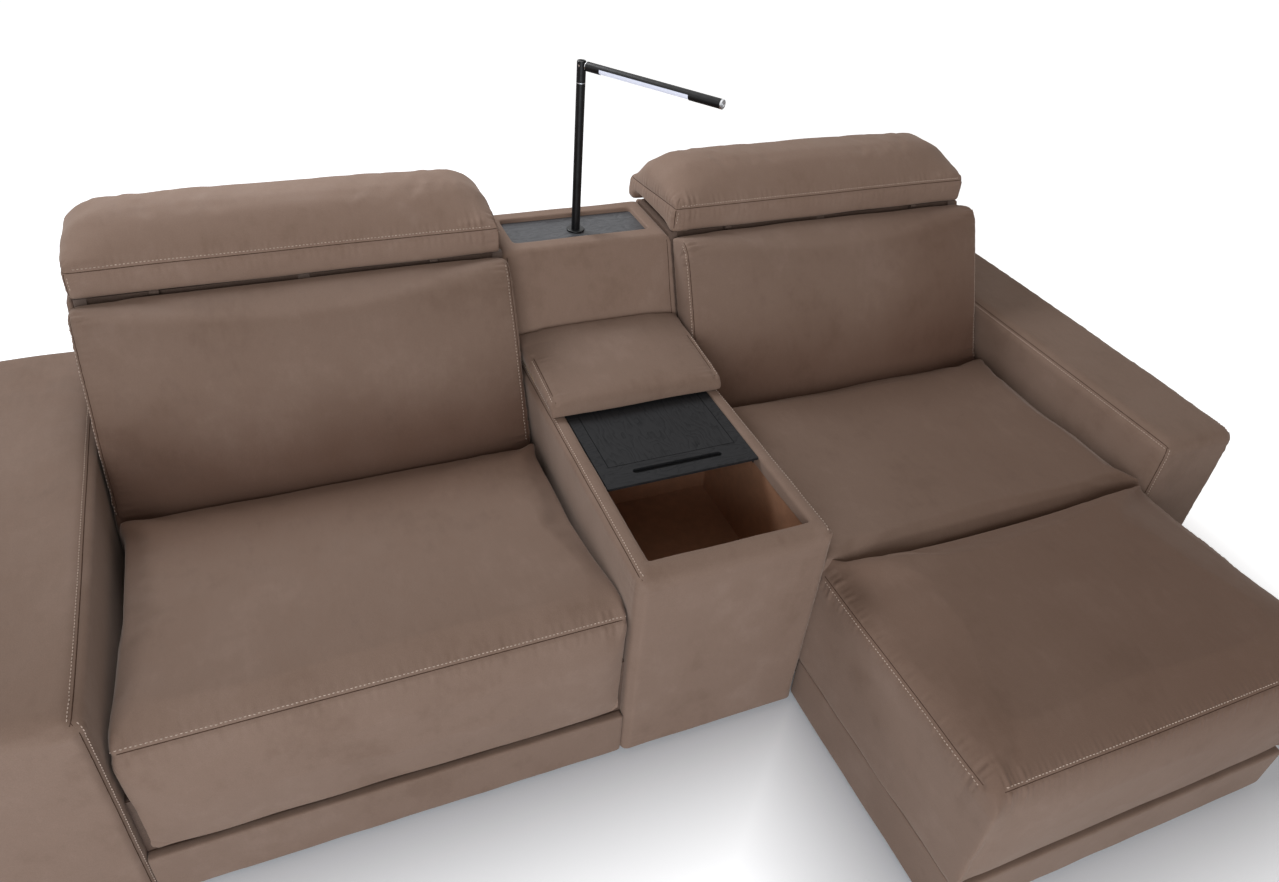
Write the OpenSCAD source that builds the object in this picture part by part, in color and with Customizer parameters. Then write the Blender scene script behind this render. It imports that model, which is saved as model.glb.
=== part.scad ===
/* [Overall layout] */
// Width of one seating place
seat_w = 940; // [780:10:1040]
// Width of the console between the two places
console_w = 445; // [405:5:560]
// Width of an arm
arm_w = 240; // [160:10:320]
// Height of the arms above the floor
arm_h = 560; // [480:10:640]
// Depth from the seat front to the outer back
unit_d = 1146; // [1130:2:1240]
// Reach of the chaise past the seat front
chaise_reach = 580; // [400:10:800]
// Gap left between upholstered neighbours
fit_gap = 0.3; // [0.2:0.1:0.8]
// Height of the hidden glides
glide_h = 8; // [5:1:16]
// Diameter of a glide
glide_d = 40; // [25:1:50]
// Thickness of the frame boards
board_t = 25; // [18:1:30]
// Height of the panels' lower edges over the glides
foot_gap = 2; // [1.5:0.5:6]
// Thickness of the cloth under the frames
lining_t = 1; // [0.6:0.1:1.4]

/* [Seat] */
// Height of the seat crown above the floor
seat_h = 460; // [430:1:485]
// Fall of the seat surface from front to back
seat_fall = 22; // [6:1:30]
// Extra height of the crown over the seat ends
seat_crown = 8; // [4:1:16]
// Depth of the seat at crown height
seat_depth = 664; // [630:1:680]
// Radius of the rolled front edge
seat_front_r = 86; // [50:1:92]
// Radius of the seat's rear edge
seat_rear_r = 22; // [10:1:28]
// Height of the base frame that carries the springing
base_h = 290; // [240:5:320]
// Height of the plinth panel above the floor
plinth_h = 132; // [90:2:170]
// Thickness of the plinth panel
plinth_t = 22; // [20:1:30]
// Set-back of the plinth behind the seat front
plinth_inset = 8; // [6:1:14]
// Set-back of the front fall's lower edge behind the seat front
fall_inset = 13; // [8:1:16]
// Forward swelling of the front fall
fall_crown = 9; // [5:1:12]
// Width of one elastic strap
strap_w = 60; // [40:2:70]
// Thickness of one elastic strap
strap_t = 1.5; // [1:0.1:2.5]
// Side set-back of the chaise plinth
side_inset = 26; // [12:1:36]
// Thickness of the padded chaise side panels
side_panel_t = 20; // [14:1:24]
// Depth of the chaise side seam under the seat crown
side_seam_drop = 36; // [26:1:60]
// Radius of the joint line between two seat cushions
joint_r = 16; // [8:1:24]

/* [Back] */
// Lean of the back from upright, in degrees
back_lean = 24; // [21:0.5:26]
// Height of the top of the back frame
back_top_h = 797; // [775:1:825]
// Thickness of the back cushions
back_cushion_t = 95; // [80:1:105]
// Forward crown of the back cushions
back_crown = 14; // [5:1:22]
// Height of the top edge of the back cushions over the frame
back_roll = 20; // [14:1:24]
// Radius of the top front edge of the back cushions
back_roll_r = 30; // [18:1:34]
// Drop of the back cushions' top under the headrest hinge
back_tuck = 11; // [9:1:18]
// Thickness of the outer back panel
shell_t = 20; // [14:1:26]
// Thickness of the outer side return of the back
return_t = 14; // [10:1:20]
// Height of the outer back's lower edge
shell_foot = 33; // [20:1:60]

/* [Headrest] */
// Depth of a headrest lying flat
headrest_d = 311; // [280:1:330]
// Height of the boxed border of a headrest
border_h = 56; // [44:1:62]
// Fall of the border from front to rear
border_fall = 24; // [8:1:26]
// Rise of the crown above the border
headrest_crown = 118; // [80:1:125]
// Rise of the crown kept at the ends
headrest_end_crown = 26; // [4:1:36]
// Drop of the lip that hangs behind the back
headrest_lip = 30; // [12:1:40]
// Thickness of that lip
headrest_lip_t = 44; // [30:1:48]
// Forward swelling of the border
border_crown = 3; // [2:0.5:4]
// Gap between a headrest and its neighbours at each end
headrest_gap = 4; // [2:0.5:8]
// Lift of the headrest over the back frame
headrest_lift = 9; // [8.5:0.5:12]
// Thickness of the headrest board
headrest_board_t = 10; // [6:1:14]
// Reach of the border in front of the hinge
headrest_nose = 6; // [4:0.5:7]
// Distance of the hinges from the headrest's ends
hinge_side = 170; // [100:5:220]
// Width of a hinge leaf
hinge_w = 34; // [30:1:44]
// Length of a fixed hinge leaf
hinge_leaf = 70; // [50:1:90]
// Length of a moving hinge strap
strap_reach = 190; // [140:1:200]
// Radius of the hinge eye
eye_r = 6; // [5:0.5:6]
// Width of the moving hinge eye
eye_w = 10; // [8:0.5:12]
// Thickness of a fixed hinge ear
ear_t = 4; // [3:0.5:6]
// Radius of the hinge pin
hinge_pin_r = 3; // [2:0.5:3.5]
// Running clearance of a pin in its eye
pin_gap = 0.05; // [0.02:0.01:0.09]
// Thickness of the hinge straps
hinge_t = 2.5; // [2:0.5:3]
// Height of the hinge axis over the back frame
hinge_rise = 1; // [0.5:0.5:1.5]

/* [Arms] */
// Thickness of the arm padding
arm_wall = 22; // [16:1:28]
// Radius of the arms' upper edges
arm_r = 34; // [16:1:40]
// Radius of the arms' upright edges
arm_edge_r = 14; // [8:1:24]

/* [Console] */
// Height of the console rim
console_h = 558; // [535:1:585]
// Width of the padded side rims
rim_w = 40; // [36:1:50]
// Width of the padded front rim
front_rim_w = 51; // [44:1:60]
// Radius of the outer top edges
rim_r = 24; // [14:1:26]
// Radius of the inner top edges
rim_inner_r = 10; // [6:1:10]
// Radius of the front top edge
front_r = 36; // [24:1:38]
// Radius of the upright front corners
corner_r = 24; // [10:1:34]
// Depth of the padded inner face of the rim
rim_face = 31; // [28:1:40]
// Step from the rim's face back to the bin wall
rim_step = 3; // [1:0.5:6]
// Thickness of the bin walls
bin_t = 5; // [4:1:9]
// Height of the bin floor above the floor
bin_floor_h = 285; // [240:5:320]
// Inner length of the bin, front to back
bin_l = 446; // [400:2:470]
// Radius of the bin's upright corners
bin_r = 8; // [3:1:14]
// Thickness of the console's base board
base_board_t = 18; // [12:1:24]

/* [Lid] */
// Length of the sliding lid
lid_l = 495; // [490:1:505]
// Thickness of the lid
lid_t = 12; // [10:0.5:14]
// Depth of the lid's top below the rim
lid_drop = 4; // [3:0.5:5]
// Gap left by the lid as it stands, to the front rim
lid_open = 222; // [150:1:230]
// Side clearance of the lid in the rim
lid_clear = 0.7; // [0.5:0.1:1.5]
// Length of the finger groove
groove_l = 216; // [150:1:240]
// Width of the finger groove
groove_w = 15; // [12:0.5:18]
// Depth of the finger groove
groove_depth = 8; // [5:0.5:8.5]
// Distance of the groove from the lid's front edge
groove_back = 40; // [30:1:46]
// Width of the inset panel
inset_w = 308; // [240:1:330]
// Distance of the inset from the lid's front edge
inset_back = 68; // [60:1:80]
// Thickness of the inset panel
inset_t = 3; // [2:0.5:4]
// Width of the shadow line round the inset
shadow_w = 1.5; // [1:0.1:2.5]
// Width of the ledge under the lid
rail_w = 14; // [10:1:18]
// Wall of the lid rails
rail_t = 2; // [1.5:0.1:3]
// Set-back of the rails behind the lid's front edge
rail_back = 16; // [8:1:30]
// Length of the lid's stops
stop_l = 12; // [6:1:20]

/* [Bolster and tower] */
// Thickness of the bolster board
bolster_board_t = 10; // [8:0.5:14]
// Height of the bolster top over the rim
bolster_h = 68; // [58:1:76]
// Fall of the bolster's top at its ends
bolster_crown = 12; // [6:1:16]
// Distance of the bolster front from the console front
bolster_front = 530; // [522:1:540]
// Share of the bolster's height at its front edge
bolster_front_share = 0.62; // [0.5:0.01:0.75]
// Radius of the bolster's front roll
bolster_r = 20; // [12:1:24]
// Set-back of the tower face behind the cushion face
tower_setback = 99; // [90:1:110]
// Radius of the tower's top edges
tower_r = 22; // [12:1:24]
// Width of the tray's front wall at the top
tray_wall = 44; // [34:1:50]
// Length of the tray from front to back
tray_l = 133; // [110:1:140]
// Depth of the tray below the tower top
tray_drop = 10; // [6:1:20]
// Thickness of the tray board
tray_t = 8; // [6:0.5:12]
// Width of the ledge that carries the tray board
tray_ledge = 18; // [12:1:20]
// Thickness of the tower's floor
tower_floor_t = 14; // [10:1:20]
// Width of the lamp driver
driver_w = 120; // [80:1:160]
// Height of the lamp driver
driver_h = 34; // [24:1:45]
// Width of the power inlet's plate
inlet_w = 34; // [28:1:44]
// Height of the power inlet's centre
inlet_z = 90; // [60:1:140]

/* [Lamp] */
// Outer diameter of the pole and of the arm
pole_d = 22; // [20:0.5:24]
// Wall of the lamp tubes
tube_t = 1.5; // [1:0.1:2]
// Set-back of the pole behind the tray's front edge
lamp_back = 56; // [40:1:70]
// Height of the arm's axis over the tray
lamp_h = 414; // [340:1:480]
// Length of the arm from the pole axis
arm_l = 380; // [330:1:420]
// Length of the turning fork above the trim ring
fork_l = 49; // [44:1:60]
// Height of the fork's top over the arm's axis
fork_rise = 10; // [9:0.5:12]
// Bevel of the lamp's turned ends
lamp_bevel = 1; // [0.5:0.1:2]
// Height of the trim ring
ring_h = 2; // [1:0.5:4]
// Step of the trim ring past the pole
ring_step = 0.2; // [0.1:0.1:0.6]
// Diameter of the collar on the tray
collar_d = 46; // [36:1:60]
// Thickness of the collar
collar_t = 5; // [3:0.5:8]
// Length of the collar's shank through the tray
shank_l = 26; // [24:1:40]
// Radius of the collar's nut
nut_r = 17; // [14:0.5:20]
// Height of the collar's nut
nut_h = 8; // [5:0.5:12]
// Length of the fork's spigot in the pole
spigot_l = 24; // [14:1:40]
// Heading of the arm from straight ahead, in degrees
arm_heading = 34; // [0:1:60]
// Thickness of the bright knuckle blade
blade_t = 7; // [5:0.5:8]
// Radius of the fold pin
fold_pin_r = 2.5; // [1.5:0.1:2.8]
// Start of the arm tube from the pole axis
tube_start = 17; // [16:0.5:20]
// Length of the knuckle's plug in the arm tube
plug_l = 16; // [10:1:24]
// Start of the light strip from the pole axis
strip_start = 56; // [46:1:70]
// Length of the light strip
strip_l = 240; // [160:1:240]
// Set-back of the light strip's face in the tube
strip_recess = 1.2; // [0.8:0.1:2]
// Thickness of the diffuser
diffuser_t = 2; // [1:0.1:2.4]
// Thickness of the light board
light_board_t = 2; // [1:0.1:2.4]
// Length of the end cap
cap_l = 9; // [7:0.5:12]
// Diameter of the switch button
button_d = 12; // [9:0.5:14]
// Travel of the switch button
button_travel = 1.2; // [0.8:0.1:2]
// Height of the switch button over the cap
button_proud = 0.3; // [0:0.1:1]
// Depth of the dish in the switch button
button_dish = 0.8; // [0.4:0.1:1.5]

/* [Fine detail] */
// Radius of panel edges
edge_r = 4; // [2:0.5:6]
// Radius of the hidden edges of cushions
tuck_r = 3; // [2:0.5:4]
// Radius of the cushions' lower hems
hem_r = 6; // [4:0.5:8]
// Drawing-in of the soft bodies at their ends
end_draw = 4; // [1:0.5:6]
// Swelling that the soft bodies keep at their ends
end_bulge = 0.6; // [0.3:0.1:1]

/* [Hidden] */
$fn = 48;
// Overrun of a cut past the face that it opens
cut = 1;
// Facets round a tube or a bore, and round a small edge
round_fn = 48;
small_fn = 32;
// Stations along a soft body, and points along each side of its outline
station_count = 12;
headrest_station_count = 16;
side_count = 3;
// Steps on half of a rounded corner of an outline, and the radius from which a corner has them all
corner_steps = 2;
round_from = 15;
// Powers of the swelling from the ends to the middle of a soft body
swell_p = 6;
swell_q = 0.9;

half_console = console_w / 2;
inner_x = half_console + fit_gap;
outer_x = half_console + seat_w;
low_z = glide_h + foot_gap;
frame_z = glide_h + lining_t;
web_h = base_h + 2 * strap_t + fit_gap;
lean_t = back_cushion_t / cos(back_lean);
frame_step = (strap_t + 2 * fit_gap) / cos(back_lean);
hinge_step = eye_r + cut;
headrest_reach = seat_depth + (back_top_h - seat_h) * tan(back_lean) + lean_t + frame_step
    - hinge_step - headrest_nose;
headrest_overhang = max(0, headrest_reach + headrest_d - unit_d);
overall_d = chaise_reach + unit_d + headrest_overhang;
front_y = chaise_reach - overall_d / 2;
chaise_y = front_y - chaise_reach;
back_y = front_y + unit_d;
shell_y = back_y - shell_t;
frame_back_y = shell_y - fit_gap;
plinth_y = front_y + plinth_inset;
base_front_y = plinth_y + plinth_t + fit_gap;
chaise_plinth_y = chaise_y + plinth_inset;
chaise_base_y = chaise_plinth_y + plinth_t + fit_gap;
joint_y = front_y + joint_r;
chaise_x = half_console + side_inset;
sit_z = seat_h - seat_fall + hem_r;
side_seam_z = seat_h - side_seam_drop;

function face_y(z) = front_y + seat_depth + (z - seat_h) * tan(back_lean);
function cushion_back_y(z) = face_y(z) + lean_t;
function frame_y(z) = cushion_back_y(z) + frame_step;
function tower_y(z) = face_y(z) + tower_setback;

// Headrest hinge places
hinge_y = frame_y(back_top_h) - hinge_step;
hinge_z = back_top_h + hinge_rise;
headrest_y = front_y + headrest_reach;
headrest_end_y = headrest_y + headrest_d;
headrest_z = back_top_h + headrest_lift;
lip_y = headrest_end_y - border_crown - headrest_lip_t;
lip_drop = lip_y > back_y + 2 * edge_r ? headrest_lip : headrest_lift / 2;
board_front_y = headrest_y + 1.5 * board_t;
board_end_y = min(headrest_end_y - 2 * board_t, lip_y - edge_r);
leaf_y = frame_y(back_top_h) + 2 * eye_r;

// Console places
rim_x = half_console - rim_w;
liner_x = rim_x + rim_step + bin_t + fit_gap;
rim_face_z = console_h - rim_face;
panel_y = front_y + front_rim_w + fit_gap;
panel_end_y = shell_y - fit_gap;
tower_z = console_h + fit_gap;
lid_top_z = console_h - lid_drop;
lid_z = lid_top_z - lid_t;
lid_y = front_y + front_rim_w + lid_open;
lid_half = rim_x - lid_clear;
inset_end_y = lid_y + lid_l - inset_back;
rail_top_z = lid_z - fit_gap;
rail_y = lid_y + rail_back;
bolster_y = front_y + bolster_front;
stop_y = bolster_y + lid_l + fit_gap;
bolster_pad_z = tower_z + bolster_board_t + fit_gap;
bolster_rear_step = 2 * fit_gap;
tray_z = back_top_h - tray_drop;
tray_y = tower_y(back_top_h) + tray_wall;
tower_back_r = 1.3 * tower_r;

// Lamp places
lamp_y = tray_y + lamp_back;
pole_r = pole_d / 2;
bore_r = pole_r - tube_t;
spigot_r = bore_r - pin_gap;
collar_floor = 0.3 * collar_t;
arm_z = tray_z + lamp_h;
fork_top_z = arm_z + fork_rise;
ring_z = fork_top_z - fork_l;
head_tilt = 90 - arm_heading;
blade_r = 0.5 * pole_r;
blade_end = 0.6 * pole_r;
fork_slot_rear = 0.68 * pole_r;
knuckle_t = 2 * cut;
strip_cut_z = -0.35 * pole_r;
light_board_z = strip_cut_z + light_board_t;
driver_d = driver_w / 2;

// Colours
hide = "#85705f";
shade_hide = "#6f5b4e";
timber = "#c9a878";
black_oak = "#3f4043";
black = "#1b1b1d";
steel = "#9a9ca0";
bright = "#d7d9dc";
lining = "#33211a";
webbing = "#d9d4c6";
light = "#dfe3f2";

// Outline helpers

// Fullness of a soft body from its ends, 0, to its middle, 1
function swell(t) = pow(1 - pow(abs(t), swell_p), swell_q);

// Swelling of a side that grows to crown at the middle of a soft body
function full(crown, w) = end_bulge + (crown - end_bulge) * w;

// Points along one side of an outline, pushed out by bulge, between two rounded corners
function side_points(a, b, ra, rb, bulge) =
    let (run = norm(b - a), n = [-(b - a)[1], (b - a)[0]] / run, count = bulge == 0 ? 1 : side_count)
    [for (i = [0:count])
        let (s = (ra + (run - ra - rb) * i / count) / run)
        a + (b - a) * s + n * bulge * 4 * s * (1 - s)];

// A closed outline from rows of corner, corner radius and the bulge of the side that follows
function soft_outline(rows) =
    let (m = len(rows),
        sides = [for (i = [0:m - 1]) let (j = (i + 1) % m)
            side_points(rows[i][0], rows[j][0], rows[i][1], rows[j][1], rows[i][2])])
    [for (i = [0:m - 1]) let (before = sides[(i + m - 1) % m], a = before[len(before) - 1], b = sides[i][0],
            n = rows[i][1] < round_from ? 2 : 2 * corner_steps)
        each concat([for (j = [1:n - 1]) let (t = j / n)
            a * (1 - t) * (1 - t) + rows[i][0] * 2 * t * (1 - t) + b * t * t], sides[i])];

// An outline whose front half is moved so that the fullest outline just reaches y
function front_at(points, fullest, y) =
    let (step = y - min([for (p = fullest) p[0]]))
    [for (p = points) p[0] < y + plinth_inset + plinth_t - hem_r ? [p[0] + step, p[1]] : p];

// A soft body swept along X from x0 to x1 through outlines that depend on the fullness
module soft_body(x0, x1, outline, count = station_count) {
    mid = (x0 + x1) / 2;
    half = (x1 - x0) / 2;
    turns = [for (i = [0:count]) -cos(180 * i / count)];
    rings = [for (t = turns) let (flat = outline(swell(t))) [for (p = flat) [mid + half * t, p[0], p[1]]]];
    n = len(rings[0]);
    faces = concat(
        [[for (i = [n - 1:-1:0]) i]],
        [for (j = [0:count - 1], i = [0:n - 1]) each let (k = (i + 1) % n)
            [[j * n + i, j * n + k, (j + 1) * n + k], [j * n + i, (j + 1) * n + k, (j + 1) * n + i]]],
        [[for (i = [0:n - 1]) count * n + i]]);
    polyhedron(points = [for (r = rings) each r], faces = faces, convexity = 4);
}

// A flat shape drawn in Y and Z, drawn out along X
module along_x(x0, x1) {
    translate([x0, 0, 0]) rotate([90, 0, 90]) linear_extrude(x1 - x0, convexity = 6) children();
}

// A flat shape drawn in X and Z, drawn out along Y
module along_y(y0, y1) {
    translate([0, y1, 0]) rotate([90, 0, 0]) linear_extrude(y1 - y0, convexity = 6) children();
}

module block(low, high) {
    translate(low) cube(high - low);
}

// A round hole or shaft along Z from z0 to z1
module shaft(z0, z1, r) {
    translate([0, 0, z0]) cylinder(h = z1 - z0, r = r, $fn = round_fn);
}

// A rectangle whose lower and upper corners are rounded
module soft_rect(low, high, r_low, r_high) {
    hull() {
        for (x = [low[0] + r_low, high[0] - r_low]) translate([x, low[1] + r_low]) circle(r_low);
        for (x = [low[0] + r_high, high[0] - r_high]) translate([x, high[1] - r_high]) circle(r_high);
    }
}

// Frame timber

// A box frame of boards with cross rails, open above and below
module box_frame(x0, x1, y0, y1, rails) {
    side = glide_d + board_t / 2;
    low = [x0 + board_t / 2, y0 + board_t / 2];
    high = [x1 - board_t / 2 - side, y1 - board_t / 2 - side];
    difference() {
        block([x0, y0, frame_z], [x1, y1, base_h]);
        block([x0 + board_t, y0 + board_t, glide_h - cut], [x1 - board_t, y1 - board_t, base_h + cut]);
    }
    for (y = rails) block([low[0], y, base_h - 3 * board_t], [x1 - board_t / 2, y + board_t, base_h]);
    for (x = [low[0], high[0]], y = [low[1], high[1]])
        block([x, y, frame_z], [x + side, y + side, base_h - 4 * board_t]);
}

module glide_set(xs, ys) {
    for (x = xs, y = ys) translate([x, y, 0]) shaft(0, glide_h, glide_d / 2);
}

// Elastic straps in two layers over a seat frame
module strap_field(x0, x1, y0, y1) {
    across = floor((y1 - y0) / (1.5 * strap_w));
    deep = floor((x1 - x0) / (1.7 * strap_w));
    for (i = [0:across - 1]) {
        y = y0 + (y1 - y0 - strap_w) * i / (across - 1);
        block([x0, y, base_h], [x1, y + strap_w, base_h + strap_t]);
    }
    for (i = [0:deep - 1]) {
        x = x0 + board_t + (x1 - x0 - 2 * board_t - strap_w) * i / (deep - 1);
        block([x, y0, base_h + strap_t], [x + strap_w, y1, base_h + 2 * strap_t]);
    }
}

// Elastic straps across the leaning back frame
module back_straps(x0, x1) {
    low = web_h + strap_w;
    run = (back_top_h - strap_w - low) / cos(back_lean);
    rows = floor(run / (1.6 * strap_w));
    translate([0, cushion_back_y(low) + fit_gap / cos(back_lean), low]) rotate([-back_lean, 0, 0])
        for (i = [0:rows - 1]) {
            z = (run - strap_w) * i / (rows - 1);
            block([x0, 0, z], [x1, strap_t, z + strap_w]);
        }
}

// Outline of a leaning board in Y and Z, from the back frame's face to y1
module leaning_board(y1) {
    polygon([[frame_y(web_h), base_h], [y1, base_h], [y1, back_top_h],
        [frame_y(back_top_h), back_top_h], [frame_y(web_h), web_h]]);
}

module back_frame(x0, x1) {
    rail_z = base_h + 4 * board_t;
    for (x = [x0, x1 - board_t, (x0 + x1 - board_t) / 2]) along_x(x, x + board_t) difference() {
        leaning_board(frame_back_y);
        lightening_slot();
    }
    block([x0, frame_y(back_top_h), back_top_h - board_t], [x1, frame_back_y, back_top_h]);
    block([x0, frame_back_y - 3 * board_t, base_h], [x1, frame_back_y, base_h + board_t]);
    block([x0, frame_y(rail_z), base_h], [x1, frame_y(rail_z) + board_t, rail_z - board_t]);
}

// Lightening slot of a back board, leaning with it
module lightening_slot() {
    r = 1.8 * board_t;
    low = base_h + 5 * board_t + r;
    high = back_top_h - 2 * board_t - r;
    hull() for (z = [low, high])
        translate([(frame_y(z) + frame_back_y) / 2, z]) circle(r, $fn = small_fn);
}

// Outer back with its return along the outer side
module back_shell(x0, x1, outer) {
    side = outer < 0 ? x0 : x1 - return_t;
    along_y(shell_y, back_y) soft_rect([x0, shell_foot], [x1, back_top_h], edge_r, 2 * edge_r);
    along_x(side, side + return_t) leaning_board(shell_y + shell_t / 2);
}

// Soft seat, back and headrest forms

// Seat cushion with a rolled front and a fall in front of the frame, from its front y0 to y1
function rolled_seat(w, y0, rear) =
    let (top = seat_h - seat_crown * (1 - w), draw = end_draw * (1 - w),
        behind = y0 + plinth_inset + plinth_t, hem_z = plinth_h + fit_gap)
    concat([[[behind, web_h], tuck_r, 0],
        [[behind, hem_z], tuck_r, 0],
        [[y0 + fall_inset + draw, hem_z], hem_r, full(fall_crown, w)],
        [[y0 + draw, top], seat_front_r, full(end_draw, w)]], rear);

function rear_corners(w) =
    let (top = seat_h - seat_fall - seat_crown * (1 - w))
    [[[face_y(top) - fit_gap, top], seat_rear_r, 0],
        [[face_y(web_h) - fit_gap, web_h], tuck_r, 0]];

function joint_z(w) = seat_h - seat_fall / 3 - seat_crown * (1 - w);

function left_seat(w) = soft_outline(rolled_seat(w, front_y, rear_corners(w)));

function seat_outline(w) = front_at(left_seat(w), left_seat(1), front_y);

// Seat cushion between the joint line and the back
function rear_seat_outline(w) = soft_outline(concat(
    [[[joint_y + fit_gap, web_h], tuck_r, 0],
        [[joint_y + fit_gap, joint_z(w)], joint_r, full(end_draw, w)]], rear_corners(w)));

// Chaise cushion from the joint line to the rolled front and its fall
function chaise_seat(w) = soft_outline(rolled_seat(w, chaise_y,
    [[[joint_y - fit_gap, joint_z(w)], joint_r, 0], [[joint_y - fit_gap, web_h], tuck_r, 0]]));

function chaise_outline(w) = front_at(chaise_seat(w), chaise_seat(1), chaise_y);

// Back cushion, leaning, crowned forward, its top falling back under the headrest
function back_outline(w) =
    let (top = back_top_h + back_roll - end_draw * (1 - w), tuck = back_top_h - back_tuck)
    soft_outline([[[face_y(web_h) + fit_gap, web_h], hem_r, 0],
        [[face_y(sit_z) + fit_gap, sit_z], hem_r, full(back_crown, w)],
        [[face_y(top) + end_draw * (1 - w) / 2, top], back_roll_r, full(hem_r, w)],
        [[face_y(top) + 0.78 * lean_t, tuck], tuck_r, 0],
        [[cushion_back_y(tuck), tuck], tuck_r, 0],
        [[cushion_back_y(web_h), web_h], tuck_r, 0]]);

// Headrest with a boxed border below and a high crown above, its rear just reaching its depth
function headrest_outline(w) =
    let (low = headrest_z + fit_gap, seam = headrest_z + border_h,
        points = soft_outline([[[headrest_end_y, seam - border_fall], edge_r, border_crown],
            [[headrest_end_y - border_crown, low - lip_drop], hem_r, 0],
            [[lip_y, low - lip_drop], tuck_r / 2, 0],
            [[lip_y, low], tuck_r / 2, 0],
            [[headrest_y + border_crown, low], hem_r, border_crown],
            [[headrest_y, seam], edge_r, full(headrest_crown, w) + headrest_end_crown * (1 - w)]]),
        step = headrest_end_y - max([for (p = points) p[0]]))
    [for (p = points) p[0] > (lip_y + headrest_end_y) / 2 ? [p[0] + step, p[1]] : p];

// Bolster, a low wedge that rolls over at its front and leans with the tower behind
function bolster_outline(w) =
    let (top = console_h + bolster_h - bolster_crown * (1 - w), front = bolster_y + end_draw * (1 - w),
        brow = console_h + bolster_front_share * bolster_h - bolster_crown * (1 - w) / 2)
    soft_outline([[[tower_y(tower_z) - bolster_rear_step, bolster_pad_z], tuck_r / 2, 0],
        [[bolster_y + board_t, bolster_pad_z], tuck_r / 2, 0],
        [[bolster_y + board_t, tower_z], tuck_r, 0],
        [[front, tower_z], hem_r, end_draw / 2],
        [[front + 2 * edge_r, brow], bolster_r, end_draw],
        [[tower_y(top) - bolster_rear_step, top], 2 * hem_r, 0]]);

// A headrest pad with the seat for its board cut into its underside
module headrest_pad(x0, x1) {
    difference() {
        soft_body(x0 + headrest_gap, x1 - headrest_gap, function(w) headrest_outline(w),
            headrest_station_count);
        block([x0 + board_edge, board_front_y, headrest_z - cut],
            [x1 - board_edge, board_end_y, headrest_z + headrest_board_t + fit_gap]);
    }
}

board_edge = headrest_gap + 2 * board_t;

module headrest_board(x0, x1) {
    block([x0 + board_edge + fit_gap, board_front_y + fit_gap, headrest_z],
        [x1 - board_edge - fit_gap, board_end_y - fit_gap, headrest_z + headrest_board_t]);
}

// Fixed hinge halves on the back frame, two ears, a leaf and the pin at each place
module headrest_hinge_set(x0, x1) {
    ear_x = eye_w / 2 + fit_gap;
    for (x = [x0 + hinge_side, x1 - hinge_side]) {
        for (a = [x - ear_x - ear_t, x + ear_x]) along_x(a, a + ear_t) {
            translate([hinge_y, hinge_z]) circle(eye_r, $fn = round_fn);
            translate([hinge_y, back_top_h]) square([leaf_y + eye_r - hinge_y, hinge_t]);
        }
        block([x - hinge_w / 2, leaf_y, back_top_h], [x + hinge_w / 2, leaf_y + hinge_leaf, back_top_h + hinge_t]);
        translate([x - ear_x - ear_t / 2, hinge_y, hinge_z]) rotate([0, 90, 0])
            shaft(0, 2 * ear_x + ear_t, hinge_pin_r);
    }
}

// Moving hinge halves, an eye on the pin and a strap under the headrest board
module headrest_arm_set(x0, x1) {
    neck_y = hinge_y + 3 * eye_r;
    for (x = [x0 + hinge_side, x1 - hinge_side]) difference() {
        union() {
            along_x(x - eye_w / 2, x + eye_w / 2) {
                translate([hinge_y, hinge_z]) circle(eye_r, $fn = round_fn);
                polygon([[hinge_y, hinge_z], [hinge_y + eye_r, hinge_z + hinge_rise],
                    [neck_y, headrest_z - hinge_t], [neck_y, headrest_z],
                    [hinge_y - eye_r / 2, headrest_z], [hinge_y - eye_r / 2, hinge_z]]);
            }
            block([x - hinge_w / 2, neck_y - eye_r / 2, headrest_z - hinge_t],
                [x + hinge_w / 2, hinge_y + strap_reach, headrest_z]);
        }
        translate([x, hinge_y, hinge_z]) rotate([0, 90, 0]) shaft(-eye_w, eye_w, hinge_pin_r + pin_gap);
    }
}

// Arms

module arm_cover(x0, x1) {
    low = [x0 + arm_wall, front_y + arm_wall, low_z - cut];
    difference() {
        intersection() {
            along_y(front_y, back_y) soft_rect([x0, low_z], [x1, arm_h], edge_r, arm_r);
            along_x(x0, x1) soft_rect([front_y, low_z], [back_y, arm_h], edge_r, arm_r);
            linear_extrude(arm_h) soft_rect([x0, front_y], [x1, back_y], arm_edge_r, arm_edge_r);
        }
        block(low, [x1 - arm_wall, back_y - arm_wall, arm_h - arm_wall]);
    }
}

module arm_frame(x0, x1) {
    lip = arm_wall + fit_gap;
    wall = lip + board_t;
    difference() {
        block([x0 + lip, front_y + lip, frame_z], [x1 - lip, back_y - lip, arm_h - lip]);
        block([x0 + wall, front_y + wall, glide_h - cut], [x1 - wall, back_y - wall, arm_h - wall]);
    }
}

// Underside

module glides() {
    edge = board_t + glide_d / 2;
    seat_x = [-outer_x + edge, -inner_x - edge];
    chaise_xs = [chaise_x + plinth_t + edge, outer_x - side_inset - plinth_t - edge];
    arm_x = outer_x + arm_w - arm_wall - edge;
    bin_x = liner_x - glide_d;
    color(black) {
        glide_set(seat_x, [base_front_y + edge, frame_back_y - edge]);
        glide_set(chaise_xs, [chaise_base_y + edge, front_y, frame_back_y - edge]);
        glide_set([-arm_x, arm_x], [front_y + 2 * edge, back_y - 2 * edge]);
        glide_set([-bin_x, bin_x], [panel_y + glide_d, panel_end_y - glide_d]);
    }
}

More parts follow.
